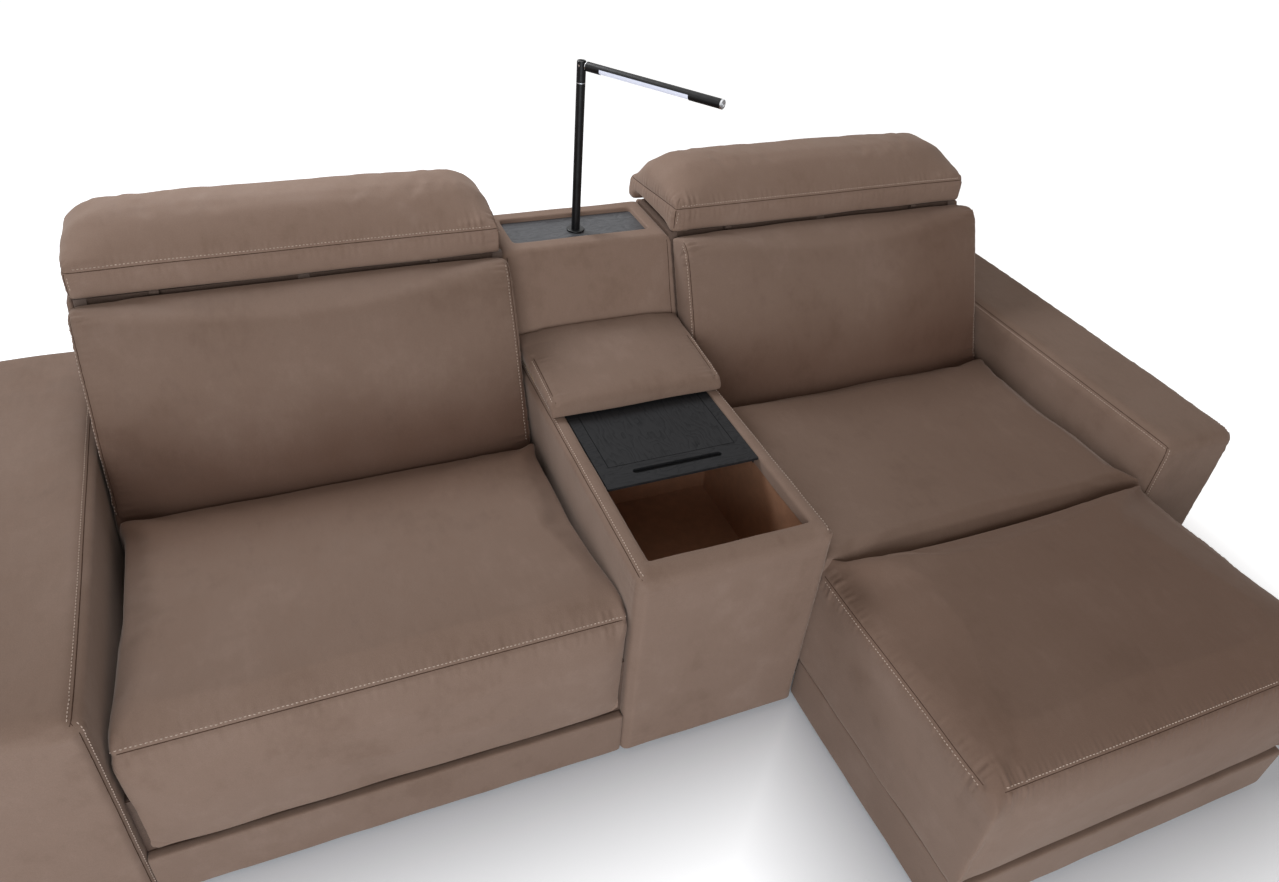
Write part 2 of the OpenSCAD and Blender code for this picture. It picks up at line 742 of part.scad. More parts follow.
// Cloth that closes the frames below, between them and the glides
module bottom_lining() {
    top = glide_h + lining_t;
    color(lining) {
        block([-outer_x + fit_gap, base_front_y, glide_h], [-inner_x, frame_back_y, top]);
        block([base_x0, chaise_base_y, glide_h], [base_x1, frame_back_y, top]);
        block([-liner_x + fit_gap, panel_y, glide_h], [liner_x - fit_gap, panel_end_y, top]);
        for (s = [-1, 1]) translate([s * (outer_x + arm_w / 2), 0, 0])
            block([-arm_w / 2 + arm_wall, front_y + arm_wall, glide_h],
                [arm_w / 2 - arm_wall, back_y - arm_wall, top]);
    }
}

// Left place

module left_plinth() {
    color(shade_hide) along_y(plinth_y, plinth_y + plinth_t)
        soft_rect([-outer_x + fit_gap, low_z], [-inner_x, plinth_h], edge_r, edge_r);
}

module left_base_frame() {
    color(timber) box_frame(-outer_x + fit_gap, -inner_x, base_front_y, frame_back_y,
        [face_y(web_h) - board_t, (base_front_y + face_y(web_h)) / 2]);
}

module left_webbing() {
    color(webbing) {
        strap_field(-outer_x + fit_gap, -inner_x, base_front_y + tuck_r, face_y(web_h));
        back_straps(-outer_x + return_t + fit_gap, -inner_x);
    }
}

module left_seat_cushion() {
    color(hide) soft_body(-outer_x + fit_gap, -inner_x, function(w) seat_outline(w));
}

module left_back_frame() {
    color(timber) back_frame(-outer_x + return_t + fit_gap, -inner_x);
}

module left_back_cushion() {
    color(hide) soft_body(-outer_x + fit_gap, -inner_x, function(w) back_outline(w));
}

module left_back_shell() {
    color(shade_hide) back_shell(-outer_x, -inner_x, -1);
}

module left_arm_frame() {
    color(timber) arm_frame(-outer_x - arm_w, -outer_x - fit_gap);
}

module left_arm_cover() {
    color(hide) arm_cover(-outer_x - arm_w, -outer_x - fit_gap);
}

module left_headrest_hinges() {
    color(steel) headrest_hinge_set(-outer_x, -half_console);
}

module left_headrest_arms() {
    color(steel) headrest_arm_set(-outer_x, -half_console);
}

module left_headrest_board() {
    color(timber) headrest_board(-outer_x, -half_console);
}

module left_headrest_pad() {
    color(hide) headrest_pad(-outer_x, -half_console);
}

// Right place with the chaise

module right_plinth() {
    color(shade_hide) {
        along_y(chaise_plinth_y, chaise_plinth_y + plinth_t)
            soft_rect([chaise_x, low_z], [outer_x - side_inset, plinth_h], edge_r, edge_r);
        for (x = [chaise_x, outer_x - side_inset - plinth_t]) along_x(x, x + plinth_t)
            soft_rect([chaise_plinth_y + plinth_t / 2, low_z], [front_y, plinth_h], edge_r, edge_r);
    }
}

base_x0 = chaise_x + plinth_t + fit_gap;
base_x1 = outer_x - side_inset - plinth_t - fit_gap;

module right_base_frame() {
    color(timber) box_frame(base_x0, base_x1, chaise_base_y, frame_back_y,
        [face_y(web_h) - board_t, front_y, (chaise_base_y + front_y) / 2]);
}

module right_webbing() {
    color(webbing) {
        strap_field(base_x0, base_x1, chaise_base_y + tuck_r, face_y(web_h));
        back_straps(inner_x, outer_x - return_t - fit_gap);
    }
}

module right_seat_cushion() {
    color(hide) soft_body(inner_x, outer_x - fit_gap, function(w) rear_seat_outline(w));
}

chaise_cushion_x0 = inner_x + side_panel_t + fit_gap;
chaise_cushion_x1 = outer_x - side_panel_t - fit_gap;

module chaise_cushion() {
    color(hide) soft_body(chaise_cushion_x0, chaise_cushion_x1, function(w) chaise_outline(w));
}

// Padded border down the left side of the chaise, leaning in towards its plinth
module side_border(y1) {
    y0 = chaise_y + end_draw;
    low = plinth_h + fit_gap;
    draw = min(side_inset / 2, side_panel_t - 2 * edge_r);
    front_top_r = seat_front_r / 2;
    intersection() {
        along_y(y0, y1) hull() {
            translate([inner_x + edge_r, side_seam_z - edge_r]) circle(edge_r);
            translate([chaise_cushion_x0 - fit_gap - edge_r, side_seam_z - edge_r]) circle(edge_r);
            translate([inner_x + draw + edge_r, low + edge_r]) circle(edge_r);
            translate([chaise_cushion_x0 - fit_gap - edge_r, low + edge_r]) circle(edge_r);
        }
        linear_extrude(side_seam_z) soft_rect([inner_x, y0], [2 * inner_x, y1 + joint_r], 2 * edge_r, edge_r);
        along_x(inner_x, 2 * inner_x) hull() {
            translate([y0 + front_top_r, side_seam_z - front_top_r]) circle(front_top_r);
            translate([y1 - edge_r, side_seam_z - edge_r]) circle(edge_r);
            translate([y0 + edge_r, low + edge_r]) circle(edge_r);
            translate([y1 - edge_r, low + edge_r]) circle(edge_r);
        }
    }
}

module chaise_side_panels() {
    color(hide) {
        side_border(joint_y - fit_gap);
        translate([2 * half_console + seat_w, 0, 0]) mirror([1, 0, 0]) side_border(front_y - fit_gap);
    }
}

module right_back_frame() {
    color(timber) back_frame(inner_x, outer_x - return_t - fit_gap);
}

module right_back_cushion() {
    color(hide) soft_body(inner_x, outer_x - fit_gap, function(w) back_outline(w));
}

module right_back_shell() {
    color(shade_hide) back_shell(inner_x, outer_x, 1);
}

module right_arm_frame() {
    color(timber) arm_frame(outer_x + fit_gap, outer_x + arm_w);
}

module right_arm_cover() {
    color(hide) arm_cover(outer_x + fit_gap, outer_x + arm_w);
}

module right_headrest_hinges() {
    color(steel) headrest_hinge_set(half_console, outer_x);
}

module right_headrest_arms() {
    color(steel) headrest_arm_set(half_console, outer_x);
}

module right_headrest_board() {
    color(timber) headrest_board(half_console, outer_x);
}

module right_headrest_pad() {
    color(hide) headrest_pad(half_console, outer_x);
}

// Console

module console_front_panel() {
    color(hide) intersection() {
        along_x(-half_console, half_console) intersection() {
            soft_rect([front_y, low_z], [back_y, console_h], rim_inner_r, front_r);
            soft_rect([chaise_y, low_z], [front_y + front_rim_w, console_h], edge_r, rim_inner_r);
        }
        linear_extrude(console_h) hull() {
            for (s = [-1, 1]) {
                translate([s * (half_console - corner_r), front_y + corner_r]) circle(corner_r);
                translate([s * (half_console - edge_r), front_y + front_rim_w - edge_r]) circle(edge_r);
            }
        }
        along_y(front_y, front_y + front_rim_w)
            soft_rect([-half_console, low_z], [half_console, console_h], rim_inner_r, rim_r);
    }
}

// Left side panel with the padded rim above and a rebate for the bin below
module side_panel() {
    along_y(panel_y, panel_end_y) difference() {
        intersection() {
            soft_rect([-half_console, low_z], [half_console, console_h], rim_inner_r, rim_r);
            soft_rect([-2 * half_console, low_z], [-rim_x, console_h], edge_r, rim_inner_r);
        }
        translate([-liner_x, low_z - cut]) square([rim_w, rim_face_z - low_z + cut]);
    }
}

module console_left_panel() {
    color(hide) side_panel();
}

module console_right_panel() {
    color(hide) mirror([1, 0, 0]) side_panel();
}

module console_back_panel() {
    half = inlet_w / 2 + fit_gap;
    color(shade_hide) difference() {
        along_y(shell_y, back_y)
            soft_rect([-half_console, low_z], [half_console, console_h], edge_r, edge_r / 2);
        block([-half, shell_y - cut, inlet_z - 0.7 * half], [half, back_y + cut, inlet_z + 0.7 * half]);
    }
}

module power_inlet() {
    half = inlet_w / 2;
    pin_r = half / 14;
    color(black) difference() {
        block([-half, shell_y - board_t / 2, inlet_z - 0.7 * half], [half, back_y - cut, inlet_z + 0.7 * half]);
        along_y(shell_y, back_y + cut)
            soft_rect([-half / 2, inlet_z - half / 3], [half / 2, inlet_z + half / 3], half / 4, half / 4);
    }
    color(bright) for (s = [-1, 1]) translate([s * half / 4, 0, inlet_z]) rotate([-90, 0, 0])
        shaft(shell_y - cut, back_y - 4 * cut, pin_r);
}

module console_base_board() {
    color(timber) block([-liner_x + fit_gap, panel_y, frame_z],
        [liner_x - fit_gap, panel_end_y, frame_z + base_board_t]);
}

// Lined bin, open above, with a small radius in its upright corners
module console_bin() {
    half = liner_x - fit_gap;
    end_y = panel_y + bin_l + 2 * bin_t;
    color(lining) difference() {
        block([-half, panel_y, bin_floor_h - bin_t], [half, end_y, rim_face_z - fit_gap]);
        translate([0, 0, bin_floor_h]) linear_extrude(rim_face_z)
            soft_rect([-half + bin_t, panel_y + bin_t], [half - bin_t, end_y - bin_t], bin_r, bin_r);
    }
}

// Padded tower with the tray recess above and a space for the driver inside
module console_tower() {
    top = back_top_h;
    color(hide) difference() {
        intersection() {
            along_x(-half_console, half_console) hull() {
                translate([tower_y(top - tower_r) + tower_r / cos(back_lean), top - tower_r]) circle(tower_r);
                translate([back_y - tower_back_r, top - tower_back_r]) circle(tower_back_r);
                polygon([[tower_y(tower_z), tower_z], [back_y, tower_z], [back_y, tower_z + tower_r]]);
            }
            along_y(front_y, back_y)
                soft_rect([-half_console, tower_z], [half_console, top], edge_r, tower_r);
        }
        block([-rim_x, tray_y, tray_z - tray_t], [rim_x, tray_y + tray_l, top + cut]);
        block([-rim_x + tray_ledge, tray_y + tray_ledge, tower_z + tower_floor_t],
            [rim_x - tray_ledge, tray_y + tray_l - tray_ledge, tray_z]);
    }
}

module tray_board() {
    color(black_oak) difference() {
        block([-rim_x + fit_gap, tray_y + fit_gap, tray_z - tray_t],
            [rim_x - fit_gap, tray_y + tray_l - fit_gap, tray_z]);
        translate([0, lamp_y, tray_z]) shaft(-tray_t - cut, cut, pole_r + pin_gap);
    }
}

module bolster_board() {
    half = half_console - rim_r / 2;
    color(timber) block([-half, bolster_y + board_t + fit_gap, tower_z],
        [half, tower_y(tower_z) - bolster_rear_step, tower_z + bolster_board_t]);
}

module bolster_pad() {
    color(hide) soft_body(-half_console, half_console, function(w) bolster_outline(w));
}

// Sliding lid

// Rail on the left rim, an upright leaf and the ledge that carries the lid
module lid_rail() {
    along_y(rail_y, stop_y) translate([-rim_x + fit_gap, rim_face_z]) {
        square([rail_t, rail_top_z - rim_face_z]);
        translate([0, rail_top_z - rail_t - rim_face_z]) square([rail_w, rail_t]);
    }
}

module lid_rails() {
    color(black) {
        lid_rail();
        mirror([1, 0, 0]) lid_rail();
    }
}

module lid_front_rest() {
    half = rim_x - 2 * board_t;
    color(timber) block([-half, panel_y, rim_face_z], [half, panel_y + rail_w / 2, rail_top_z]);
}

// Stops that end the rails
module lid_stops() {
    color(black) for (s = [-1, 1]) translate([s * (rim_x - rail_w / 2 - fit_gap), 0, 0])
        block([-rail_w / 2, stop_y + fit_gap, rim_face_z], [rail_w / 2, stop_y + stop_l, lid_top_z]);
}

module lid_board() {
    bevel = lid_t / 2;
    shadow_x = inset_w / 2 + shadow_w;
    color(black_oak) difference() {
        along_x(-lid_half, lid_half) polygon([[lid_y + bevel, lid_z], [lid_y + lid_l, lid_z],
            [lid_y + lid_l, lid_top_z], [lid_y, lid_top_z], [lid_y, lid_z + bevel]]);
        translate([0, lid_y + groove_back, lid_top_z - groove_depth]) linear_extrude(lid_t)
            groove_outline();
        block([-shadow_x, lid_y + inset_back - shadow_w, lid_top_z - inset_t],
            [shadow_x, inset_end_y + shadow_w, lid_top_z + cut]);
    }
}

module groove_outline() {
    r = groove_w / 2;
    hull() for (s = [-1, 1]) translate([s * (groove_l / 2 - r), 0]) circle(r, $fn = small_fn);
}

module lid_inset() {
    color(black_oak) block([-inset_w / 2, lid_y + inset_back, lid_top_z - inset_t],
        [inset_w / 2, inset_end_y, lid_top_z]);
}

// Lamp

module lamp_driver() {
    x = driver_w / 2;
    y = driver_d / 2;
    color(black) translate([0, tray_y + tray_l / 2, tower_z + tower_floor_t]) linear_extrude(driver_h)
        soft_rect([-x, -y], [x, y], edge_r, edge_r);
}

// Collar on the tray with its threaded shank below, the pole stands in it
module lamp_collar() {
    edge = collar_t / 2;
    color(black) translate([0, lamp_y, tray_z]) difference() {
        union() {
            rotate_extrude($fn = round_fn) {
                square([collar_d / 2 - edge, collar_t]);
                square([collar_d / 2, edge]);
                translate([collar_d / 2 - edge, edge]) circle(edge, $fn = small_fn);
            }
            shaft(-shank_l, cut, pole_r);
        }
        shaft(collar_floor, collar_t + cut, pole_r + pin_gap);
        shaft(-shank_l - cut, collar_t, bore_r - tube_t);
    }
}

module lamp_collar_nut() {
    color(steel) translate([0, lamp_y, tray_z - tray_t - nut_h]) difference() {
        cylinder(h = nut_h, r = nut_r, $fn = 6);
        shaft(-cut, nut_h + cut, pole_r + pin_gap);
    }
}

module lamp_pole() {
    color(black) translate([0, lamp_y, 0]) difference() {
        shaft(tray_z + collar_floor, ring_z - ring_h - pin_gap, pole_r);
        shaft(tray_z, ring_z, bore_r);
    }
}

module lamp_trim_ring() {
    color(bright) translate([0, lamp_y, ring_z]) difference() {
        shaft(-ring_h, -pin_gap, pole_r + ring_step);
        shaft(-ring_h - cut, cut, bore_r);
    }
}

// The lamp arm's own frame, X along the arm from the fold axis
module at_arm() {
    translate([0, lamp_y, arm_z]) rotate([0, 0, -head_tilt]) children();
}

// Turning fork, a solid head slotted for the knuckle and a spigot down into the pole
module lamp_fork() {
    color(black) difference() {
        translate([0, lamp_y, 0]) {
            shaft(ring_z, fork_top_z - lamp_bevel, pole_r);
            translate([0, 0, fork_top_z - lamp_bevel])
                cylinder(h = lamp_bevel, r1 = pole_r, r2 = pole_r - lamp_bevel, $fn = round_fn);
            shaft(ring_z - spigot_l, ring_z + cut, spigot_r);
        }
        at_arm() {
            block([-fork_slot_rear, -blade_t / 2 - pin_gap, -pole_r],
                [2 * pole_r, blade_t / 2 + pin_gap, fork_rise + cut]);
            rotate([90, 0, 0]) shaft(-2 * pole_r, 2 * pole_r, fold_pin_r);
        }
    }
}

module lamp_fold_pin() {
    half = 0.93 * pole_r;
    color(bright) at_arm() rotate([90, 0, 0]) shaft(-half, half, fold_pin_r - pin_gap);
}

// Bright knuckle, a rounded blade in the fork and a plug in the arm's end
module lamp_knuckle() {
    color(bright) at_arm() difference() {
        union() {
            rotate([90, 0, 0]) translate([0, 0, -blade_t / 2]) linear_extrude(blade_t) hull() {
                circle(blade_r, $fn = small_fn);
                translate([tube_start - knuckle_t, -blade_end]) square([knuckle_t, 2 * blade_end]);
            }
            rotate([0, 90, 0]) {
                shaft(tube_start - knuckle_t, tube_start, pole_r - lamp_bevel);
                shaft(tube_start - cut, tube_start + plug_l, spigot_r);
            }
        }
        rotate([90, 0, 0]) shaft(-blade_t, blade_t, fold_pin_r);
    }
}

module lamp_arm_tube() {
    tube_end = arm_l - cap_l - pin_gap;
    color(black) at_arm() difference() {
        rotate([0, 90, 0]) shaft(tube_start + pin_gap, tube_end, pole_r);
        rotate([0, 90, 0]) shaft(tube_start - cut, tube_end + cut, bore_r);
        block([strip_start, -2 * pole_r, -2 * pole_r],
            [strip_start + strip_l, 2 * pole_r, strip_cut_z]);
    }
}

// Flat carrier of the light points above the diffuser
module lamp_light_board() {
    half = sqrt(pow(bore_r, 2) - pow(light_board_z, 2)) - fit_gap / 3;
    color(webbing) at_arm() block([strip_start, -half, light_board_z],
        [strip_start + strip_l, half, light_board_z + light_board_t]);
}

// Bowed strip that closes the arm's lower side
module lamp_diffuser() {
    r = pole_r - strip_recess;
    color(light) at_arm() intersection() {
        rotate([0, 90, 0]) difference() {
            shaft(strip_start + pin_gap, strip_start + strip_l - pin_gap, r);
            shaft(strip_start - cut, strip_start + strip_l + cut, r - diffuser_t);
        }
        block([0, -pole_r, -pole_r], [arm_l, pole_r, strip_cut_z - pin_gap]);
    }
}

module lamp_end_cap() {
    color(bright) at_arm() translate([arm_l, 0, 0]) rotate([0, 90, 0]) difference() {
        union() {
            shaft(-cap_l, -lamp_bevel, pole_r);
            translate([0, 0, -lamp_bevel])
                cylinder(h = lamp_bevel, r1 = pole_r, r2 = pole_r - lamp_bevel, $fn = round_fn);
            shaft(-2 * cap_l, -cap_l + cut, spigot_r);
        }
        shaft(-cap_l, cut, button_d / 2 + pin_gap);
        shaft(-3 * cap_l, cut, spigot_r / 3);
    }
}

// Switch button, a shallow dished disc that stands just proud of the cap
module lamp_switch() {
    color(bright) at_arm() translate([arm_l, 0, 0]) rotate([0, 90, 0]) difference() {
        shaft(2 * button_travel - cap_l, button_proud, button_d / 2);
        translate([0, 0, button_proud - button_dish])
            cylinder(h = 2 * button_dish, d1 = 0.55 * button_d, d2 = 0.85 * button_d, $fn = round_fn);
    }
}

glides();
bottom_lining();
left_plinth();
left_base_frame();
left_webbing();
left_seat_cushion();
left_back_frame();
left_back_cushion();
left_back_shell();
left_arm_frame();
left_arm_cover();
left_headrest_hinges();
left_headrest_arms();
left_headrest_board();
left_headrest_pad();
right_plinth();
right_base_frame();
right_webbing();
right_seat_cushion();
chaise_cushion();
chaise_side_panels();
right_back_frame();
right_back_cushion();
right_back_shell();
right_arm_frame();
right_arm_cover();
right_headrest_hinges();
right_headrest_arms();
right_headrest_board();
right_headrest_pad();
console_front_panel();
console_left_panel();
console_right_panel();
console_back_panel();
console_base_board();
console_bin();
console_tower();
tray_board();
bolster_board();
bolster_pad();
lid_rails();
lid_front_rest();
lid_stops();
lid_board();
lid_inset();
power_inlet();
lamp_driver();
lamp_collar();
lamp_collar_nut();
lamp_pole();
lamp_trim_ring();
lamp_fork();
lamp_fold_pin();
lamp_knuckle();
lamp_arm_tube();
lamp_light_board();
lamp_diffuser();
lamp_end_cap();
lamp_switch();
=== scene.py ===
"""Looks of a leather sofa with a storage console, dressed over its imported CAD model."""

import math

from dataclasses import dataclass

import bmesh
import bpy
import numpy as np
from bpy.props import FloatProperty, FloatVectorProperty, IntProperty, PointerProperty
from mathutils import Matrix, Vector
from mathutils.bvhtree import BVHTree


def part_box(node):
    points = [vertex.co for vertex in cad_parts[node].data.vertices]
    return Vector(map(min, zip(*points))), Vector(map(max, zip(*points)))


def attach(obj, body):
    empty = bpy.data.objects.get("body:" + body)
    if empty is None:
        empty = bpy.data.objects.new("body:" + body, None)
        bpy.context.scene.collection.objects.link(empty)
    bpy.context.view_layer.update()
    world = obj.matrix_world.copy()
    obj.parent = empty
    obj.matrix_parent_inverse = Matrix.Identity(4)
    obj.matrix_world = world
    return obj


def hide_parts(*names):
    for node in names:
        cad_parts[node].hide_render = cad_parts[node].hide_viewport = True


bl_info = {
    "name": "Sofa with a storage console",
    "version": (1, 0, 0),
    "blender": (4, 5, 0),
    "location": "View3D > Sidebar > Sofa",
    "description": "Nubuck covers, seams, woodwork, lamp and stage of a console sofa",
    "category": "Object",
}

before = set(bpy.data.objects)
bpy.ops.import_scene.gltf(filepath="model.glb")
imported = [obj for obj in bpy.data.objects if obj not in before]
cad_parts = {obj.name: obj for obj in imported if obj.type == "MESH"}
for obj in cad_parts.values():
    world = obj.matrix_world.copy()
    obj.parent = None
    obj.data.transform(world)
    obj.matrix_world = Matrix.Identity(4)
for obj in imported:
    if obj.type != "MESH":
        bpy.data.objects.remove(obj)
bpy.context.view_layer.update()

FRONT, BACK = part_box("left_seat_cushion")[0].y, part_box("left_back_shell")[1].y
CHAISE_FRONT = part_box("chaise_cushion")[0].y
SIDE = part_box("console_right_panel")[1].x
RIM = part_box("console_right_panel")[1].z
SEAT_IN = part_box("right_seat_cushion")[0].x
SEAT_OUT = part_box("right_seat_cushion")[1].x
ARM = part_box("right_arm_cover")[1].x


# Sizes and colours

def colour(name, value, about):
    return FloatVectorProperty(name=name, description=about, default=value, size=3, min=0, max=1, subtype="COLOR")


def length(name, value, about):
    return FloatProperty(name=name, description=about, default=value, min=0, unit="LENGTH", precision=4)


class SofaNubuck(bpy.types.PropertyGroup):
    """Colours of the nubuck and its thread"""
    mid: colour("Nubuck", (0.244, 0.167, 0.128), "Colour of the hide where the nap lies flat")
    light: colour("Brushed nap", (0.276, 0.195, 0.154), "Colour of the nap brushed towards the light")
    shade: colour("Turned nap", (0.212, 0.141, 0.105), "Colour of the nap brushed away from the light")
    # Painted shade: the fold's dark colour stands in for the shade deep in a seam.
    fold: colour("Fold", (0.060, 0.035, 0.025), "Colour deep in a seam")
    thread: colour("Thread", (0.66, 0.53, 0.44), "Colour of the topstitching")
    grain: length("Grain depth", 0.0004, "Depth of the hide's soft grain")


class SofaFill(bpy.types.PropertyGroup):
    """How the cushions are filled"""
    mesh: length("Cloth mesh", 0.012, "Size of the simulated cloth's faces")
    swell: length("Most swelling", 0.022, "Furthest that the filling pushes the cover out")
    inset: length("Starting inset", 0.005, "How much smaller a pad starts before it is filled")
    pressure: FloatProperty(name="Pressure", description="Push of the filling on the cover", default=4, min=0)
    steps: IntProperty(name="Steps", description="Frames of simulation", default=14, min=1)


class SofaSeam(bpy.types.PropertyGroup):
    """Sizes of the seams and stitches"""
    stitch: length("Stitch", 0.0048, "Length of one topstitch")
    pitch: length("Pitch", 0.0078, "Distance from one topstitch to the next")
    thread: length("Thread", 0.0009, "Radius of the thread")
    offset: length("Row offset", 0.0072, "Distance of a row of stitches from its seam")
    fold: length("Fold", 0.0012, "Radius of the dark fold in a seam")
    dip: length("Dip", 0.0024, "Depth of the valley that a seam draws in")
    pucker: length("Pucker", 0.0011, "Height of the small gathers beside a seam")


class SofaWood(bpy.types.PropertyGroup):
    """Colours of the woodwork"""
    oak: colour("Black oak", (0.052, 0.054, 0.059), "Stained oak between its pores")
    pore: colour("Oak pores", (0.016, 0.017, 0.019), "Stained oak in its pores and growth rings")
    beech: colour("Frame timber", (0.55, 0.37, 0.20), "Raw timber of the hidden frames")


class SofaLamp(bpy.types.PropertyGroup):
    """Finishes of the reading lamp"""
    black: colour("Lamp black", (0.0045, 0.0045, 0.0050), "Satin black coat of the tubes")
    chrome: colour("Chrome", (0.72, 0.73, 0.75), "Chrome of the joint, ring and cap")
    cover: colour("Light cover", (0.66, 0.70, 0.82), "Opal cover of the light")


class SofaStage(bpy.types.PropertyGroup):
    """Floor, sky and lamps of the picture"""
    floor: colour("Floor", (0.78, 0.84, 0.91), "Colour of the floor")
    sky: FloatProperty(name="Sky", description="Strength of the even light", default=0.25, min=0)
    key: FloatProperty(name="Key", description="Watts of the lamp behind the sofa", default=56, min=0)
    fill: FloatProperty(name="Fill", description="Watts of the lamp in front", default=130, min=0)


def chosen(group):
    """The panel's values for one part of the sofa."""
    return getattr(bpy.context.scene, "sofa_" + group)


# Finishes

def feed(made, **inputs):
    """Links or fills in a node's inputs, each given by its name, or by i and its number."""
    for key, value in inputs.items():
        socket = made.inputs[int(key[1:])] if key[1:].isdigit() else made.inputs[key.replace("_", " ")]
        if isinstance(value, bpy.types.NodeSocket):
            made.id_data.links.new(value, socket)
        else:
            socket.default_value = value
    return made


def node(tree, kind, options=None, **inputs):
    made = tree.nodes.new("ShaderNode" + kind)
    for key, value in (options or {}).items():
        setattr(made, key, value)
    return feed(made, **inputs)


def finish_of(name, **surface):
    """A new material with plain values on its Principled surface."""
    material = bpy.data.materials.new(name)
    material.use_nodes = True
    tree = material.node_tree
    shader = feed(tree.nodes["Principled BSDF"], **surface)
    return material, tree, shader, node(tree, "TexCoord").outputs["Object"]


def cloud(tree, place, scale, detail=2.0, rough=0.5, stretch=None):
    """Noise over a place, stretched along the axes where wanted."""
    if stretch:
        place = node(tree, "Mapping", Vector=place, Scale=stretch).outputs[0]
    return node(tree, "TexNoise", Vector=place, Scale=scale, Detail=detail, Roughness=rough).outputs[0]


def wave(tree, place, scale, options, **more):
    return node(tree, "TexWave", options, Vector=place, Scale=scale, **more).outputs[0]


def sums(tree, kind, a, b, clamp=False):
    return node(tree, "Math", {"operation": kind, "use_clamp": clamp}, i0=a, i1=b).outputs[0]


def blend_colours(tree, amount, a, b, way="MIX"):
    return node(tree, "Mix", {"data_type": "RGBA", "blend_type": way}, i0=amount, i6=a, i7=b).outputs[2]


def ramp(tree, value, *stops):
    made = node(tree, "ValToRGB", Fac=value)
    made.color_ramp.interpolation = "EASE"
    while len(made.color_ramp.elements) < len(stops):
        made.color_ramp.elements.new(0.5)
    for element, (where, rgb) in zip(made.color_ramp.elements, stops):
        element.position = where
        element.color = (*rgb, 1)
    return made.outputs[0]


def spread(tree, value, low, high, to_low=0.0, to_high=1.0):
    return node(tree, "MapRange", Value=value, i1=low, i2=high, i3=to_low, i4=to_high).outputs[0]


def vector(tree, kind, output=0, **inputs):
    return node(tree, "VectorMath", {"operation": kind}, **inputs).outputs[output]


def mixture(tree, *parts):
    """The sum of some values, each with its share."""
    total = 0.0
    for value, share in parts:
        total = sums(tree, "ADD", total, sums(tree, "MULTIPLY", value, share))
    return total


def scaled(tone, amount):
    return [c * amount for c in tone]


def shaded(tree, value, tone, amount, low=0.3, high=0.7):
    """A tone that is darker, by an amount, where the value is low."""
    return ramp(tree, value, (low, scaled(tone, amount)), (high, tone))


def bumps(tree, shader, *heights):
    """Stacks bump nodes from (height, distance, strength) onto a surface."""
    normal = {}
    for height, distance, strength in heights:
        made = node(tree, "Bump", Height=height, Distance=distance, Strength=strength, **normal)
        normal = {"Normal": made.outputs[0]}
    feed(shader, **normal)


def nubuck(name="brushed_nubuck", tint=1.0, painted_shade=()):
    """Brushed leather: clouds where the nap turns, soft grain, faint creases and a dusty sheen.

    Painted light and shade: its colours are scaled by a painted brightness, and it darkens to a darker tone as
    painted shade along an axis, from start to end, as (axis, start, end, tone).
    """
    hide = chosen("nubuck")
    material, tree, shader, place = finish_of(
        name, Roughness=0.78, Sheen_Weight=0.22, Sheen_Roughness=0.45, Sheen_Tint=(0.86, 0.74, 0.66, 1),
        Specular_IOR_Level=0.28)
    broad = cloud(tree, place, 4.5, 3.0, 0.55)
    patch = cloud(tree, place, 17.0, 4.0, 0.6)
    brushed = cloud(tree, place, 60.0, 3.0, 0.6, (1.0, 0.35, 0.6))
    mixed = mixture(tree, (broad, 0.50), (patch, 0.34), (brushed, 0.16))
    # Painted light: the hide's colours are scaled lighter or darker for this piece, standing in for more or less
    # light on it.
    shade, mid, light = (scaled(tone, tint) for tone in (hide.shade, hide.mid, hide.light))
    skin = ramp(tree, mixed, (0.34, shade), (0.50, mid), (0.67, light))
    fibre = cloud(tree, place, 900.0, 2.0, 0.6)
    skin = blend_colours(tree, 0.30, skin, shaded(tree, fibre, (1.0,) * 3, 0.55), "MULTIPLY")
    # Painted shade: each zone darkens the hide along an axis, towards where less light reaches.
    for axis, start, end, tone in painted_shade:
        along = node(tree, "SeparateXYZ", Vector=place).outputs[axis]
        stray = sums(tree, "MULTIPLY", sums(tree, "SUBTRACT", broad, 0.5), 0.10)
        shade_share = node(tree, "MapRange", {"interpolation_type": "SMOOTHSTEP"},
                      Value=sums(tree, "ADD", along, stray), i1=start, i2=end).outputs[0]
        skin = blend_colours(tree, shade_share, skin, blend_colours(tree, 1.0, skin, (*tone, 1), "MULTIPLY"))
    feed(shader, Base_Color=skin, Roughness=spread(tree, patch, 0.3, 0.7, 0.72, 0.88))
    creases = cloud(tree, place, 42.0, 3.0, 0.55)
    grain = node(tree, "TexVoronoi", {"feature": "SMOOTH_F1"}, Vector=place, Scale=420.0, Smoothness=0.7).outputs[0]
    bumps(tree, shader, (creases, 0.0016, 0.32), (grain, hide.grain, 0.35), (fibre, 0.0001, 0.5))
    return material


def thread_finish():
    _, tree, shader, place = finish_of("thread", Roughness=0.6, Sheen_Weight=0.2)
    twist = wave(tree, place, 900.0, {"bands_direction": "DIAGONAL"}, Distortion=1.0)
    feed(shader, Base_Color=shaded(tree, cloud(tree, place, 90.0), chosen("nubuck").thread, 0.72))
    bumps(tree, shader, (twist, 0.0001, 0.5))


# Painted shade: a near-black finish for the tubes laid in the seams, standing in for the shade in their folds.
def seam_shade_finish():
    fold = chosen("nubuck").fold
    _, tree, shader, place = finish_of("seam_shade_fold", Roughness=0.95, Specular_IOR_Level=0.1)
    tone = cloud(tree, place, 120.0)
    feed(shader, Base_Color=ramp(tree, tone, (0.3, fold), (0.7, scaled(fold, 1.5))))
    bumps(tree, shader, (tone, 0.0003, 0.4))


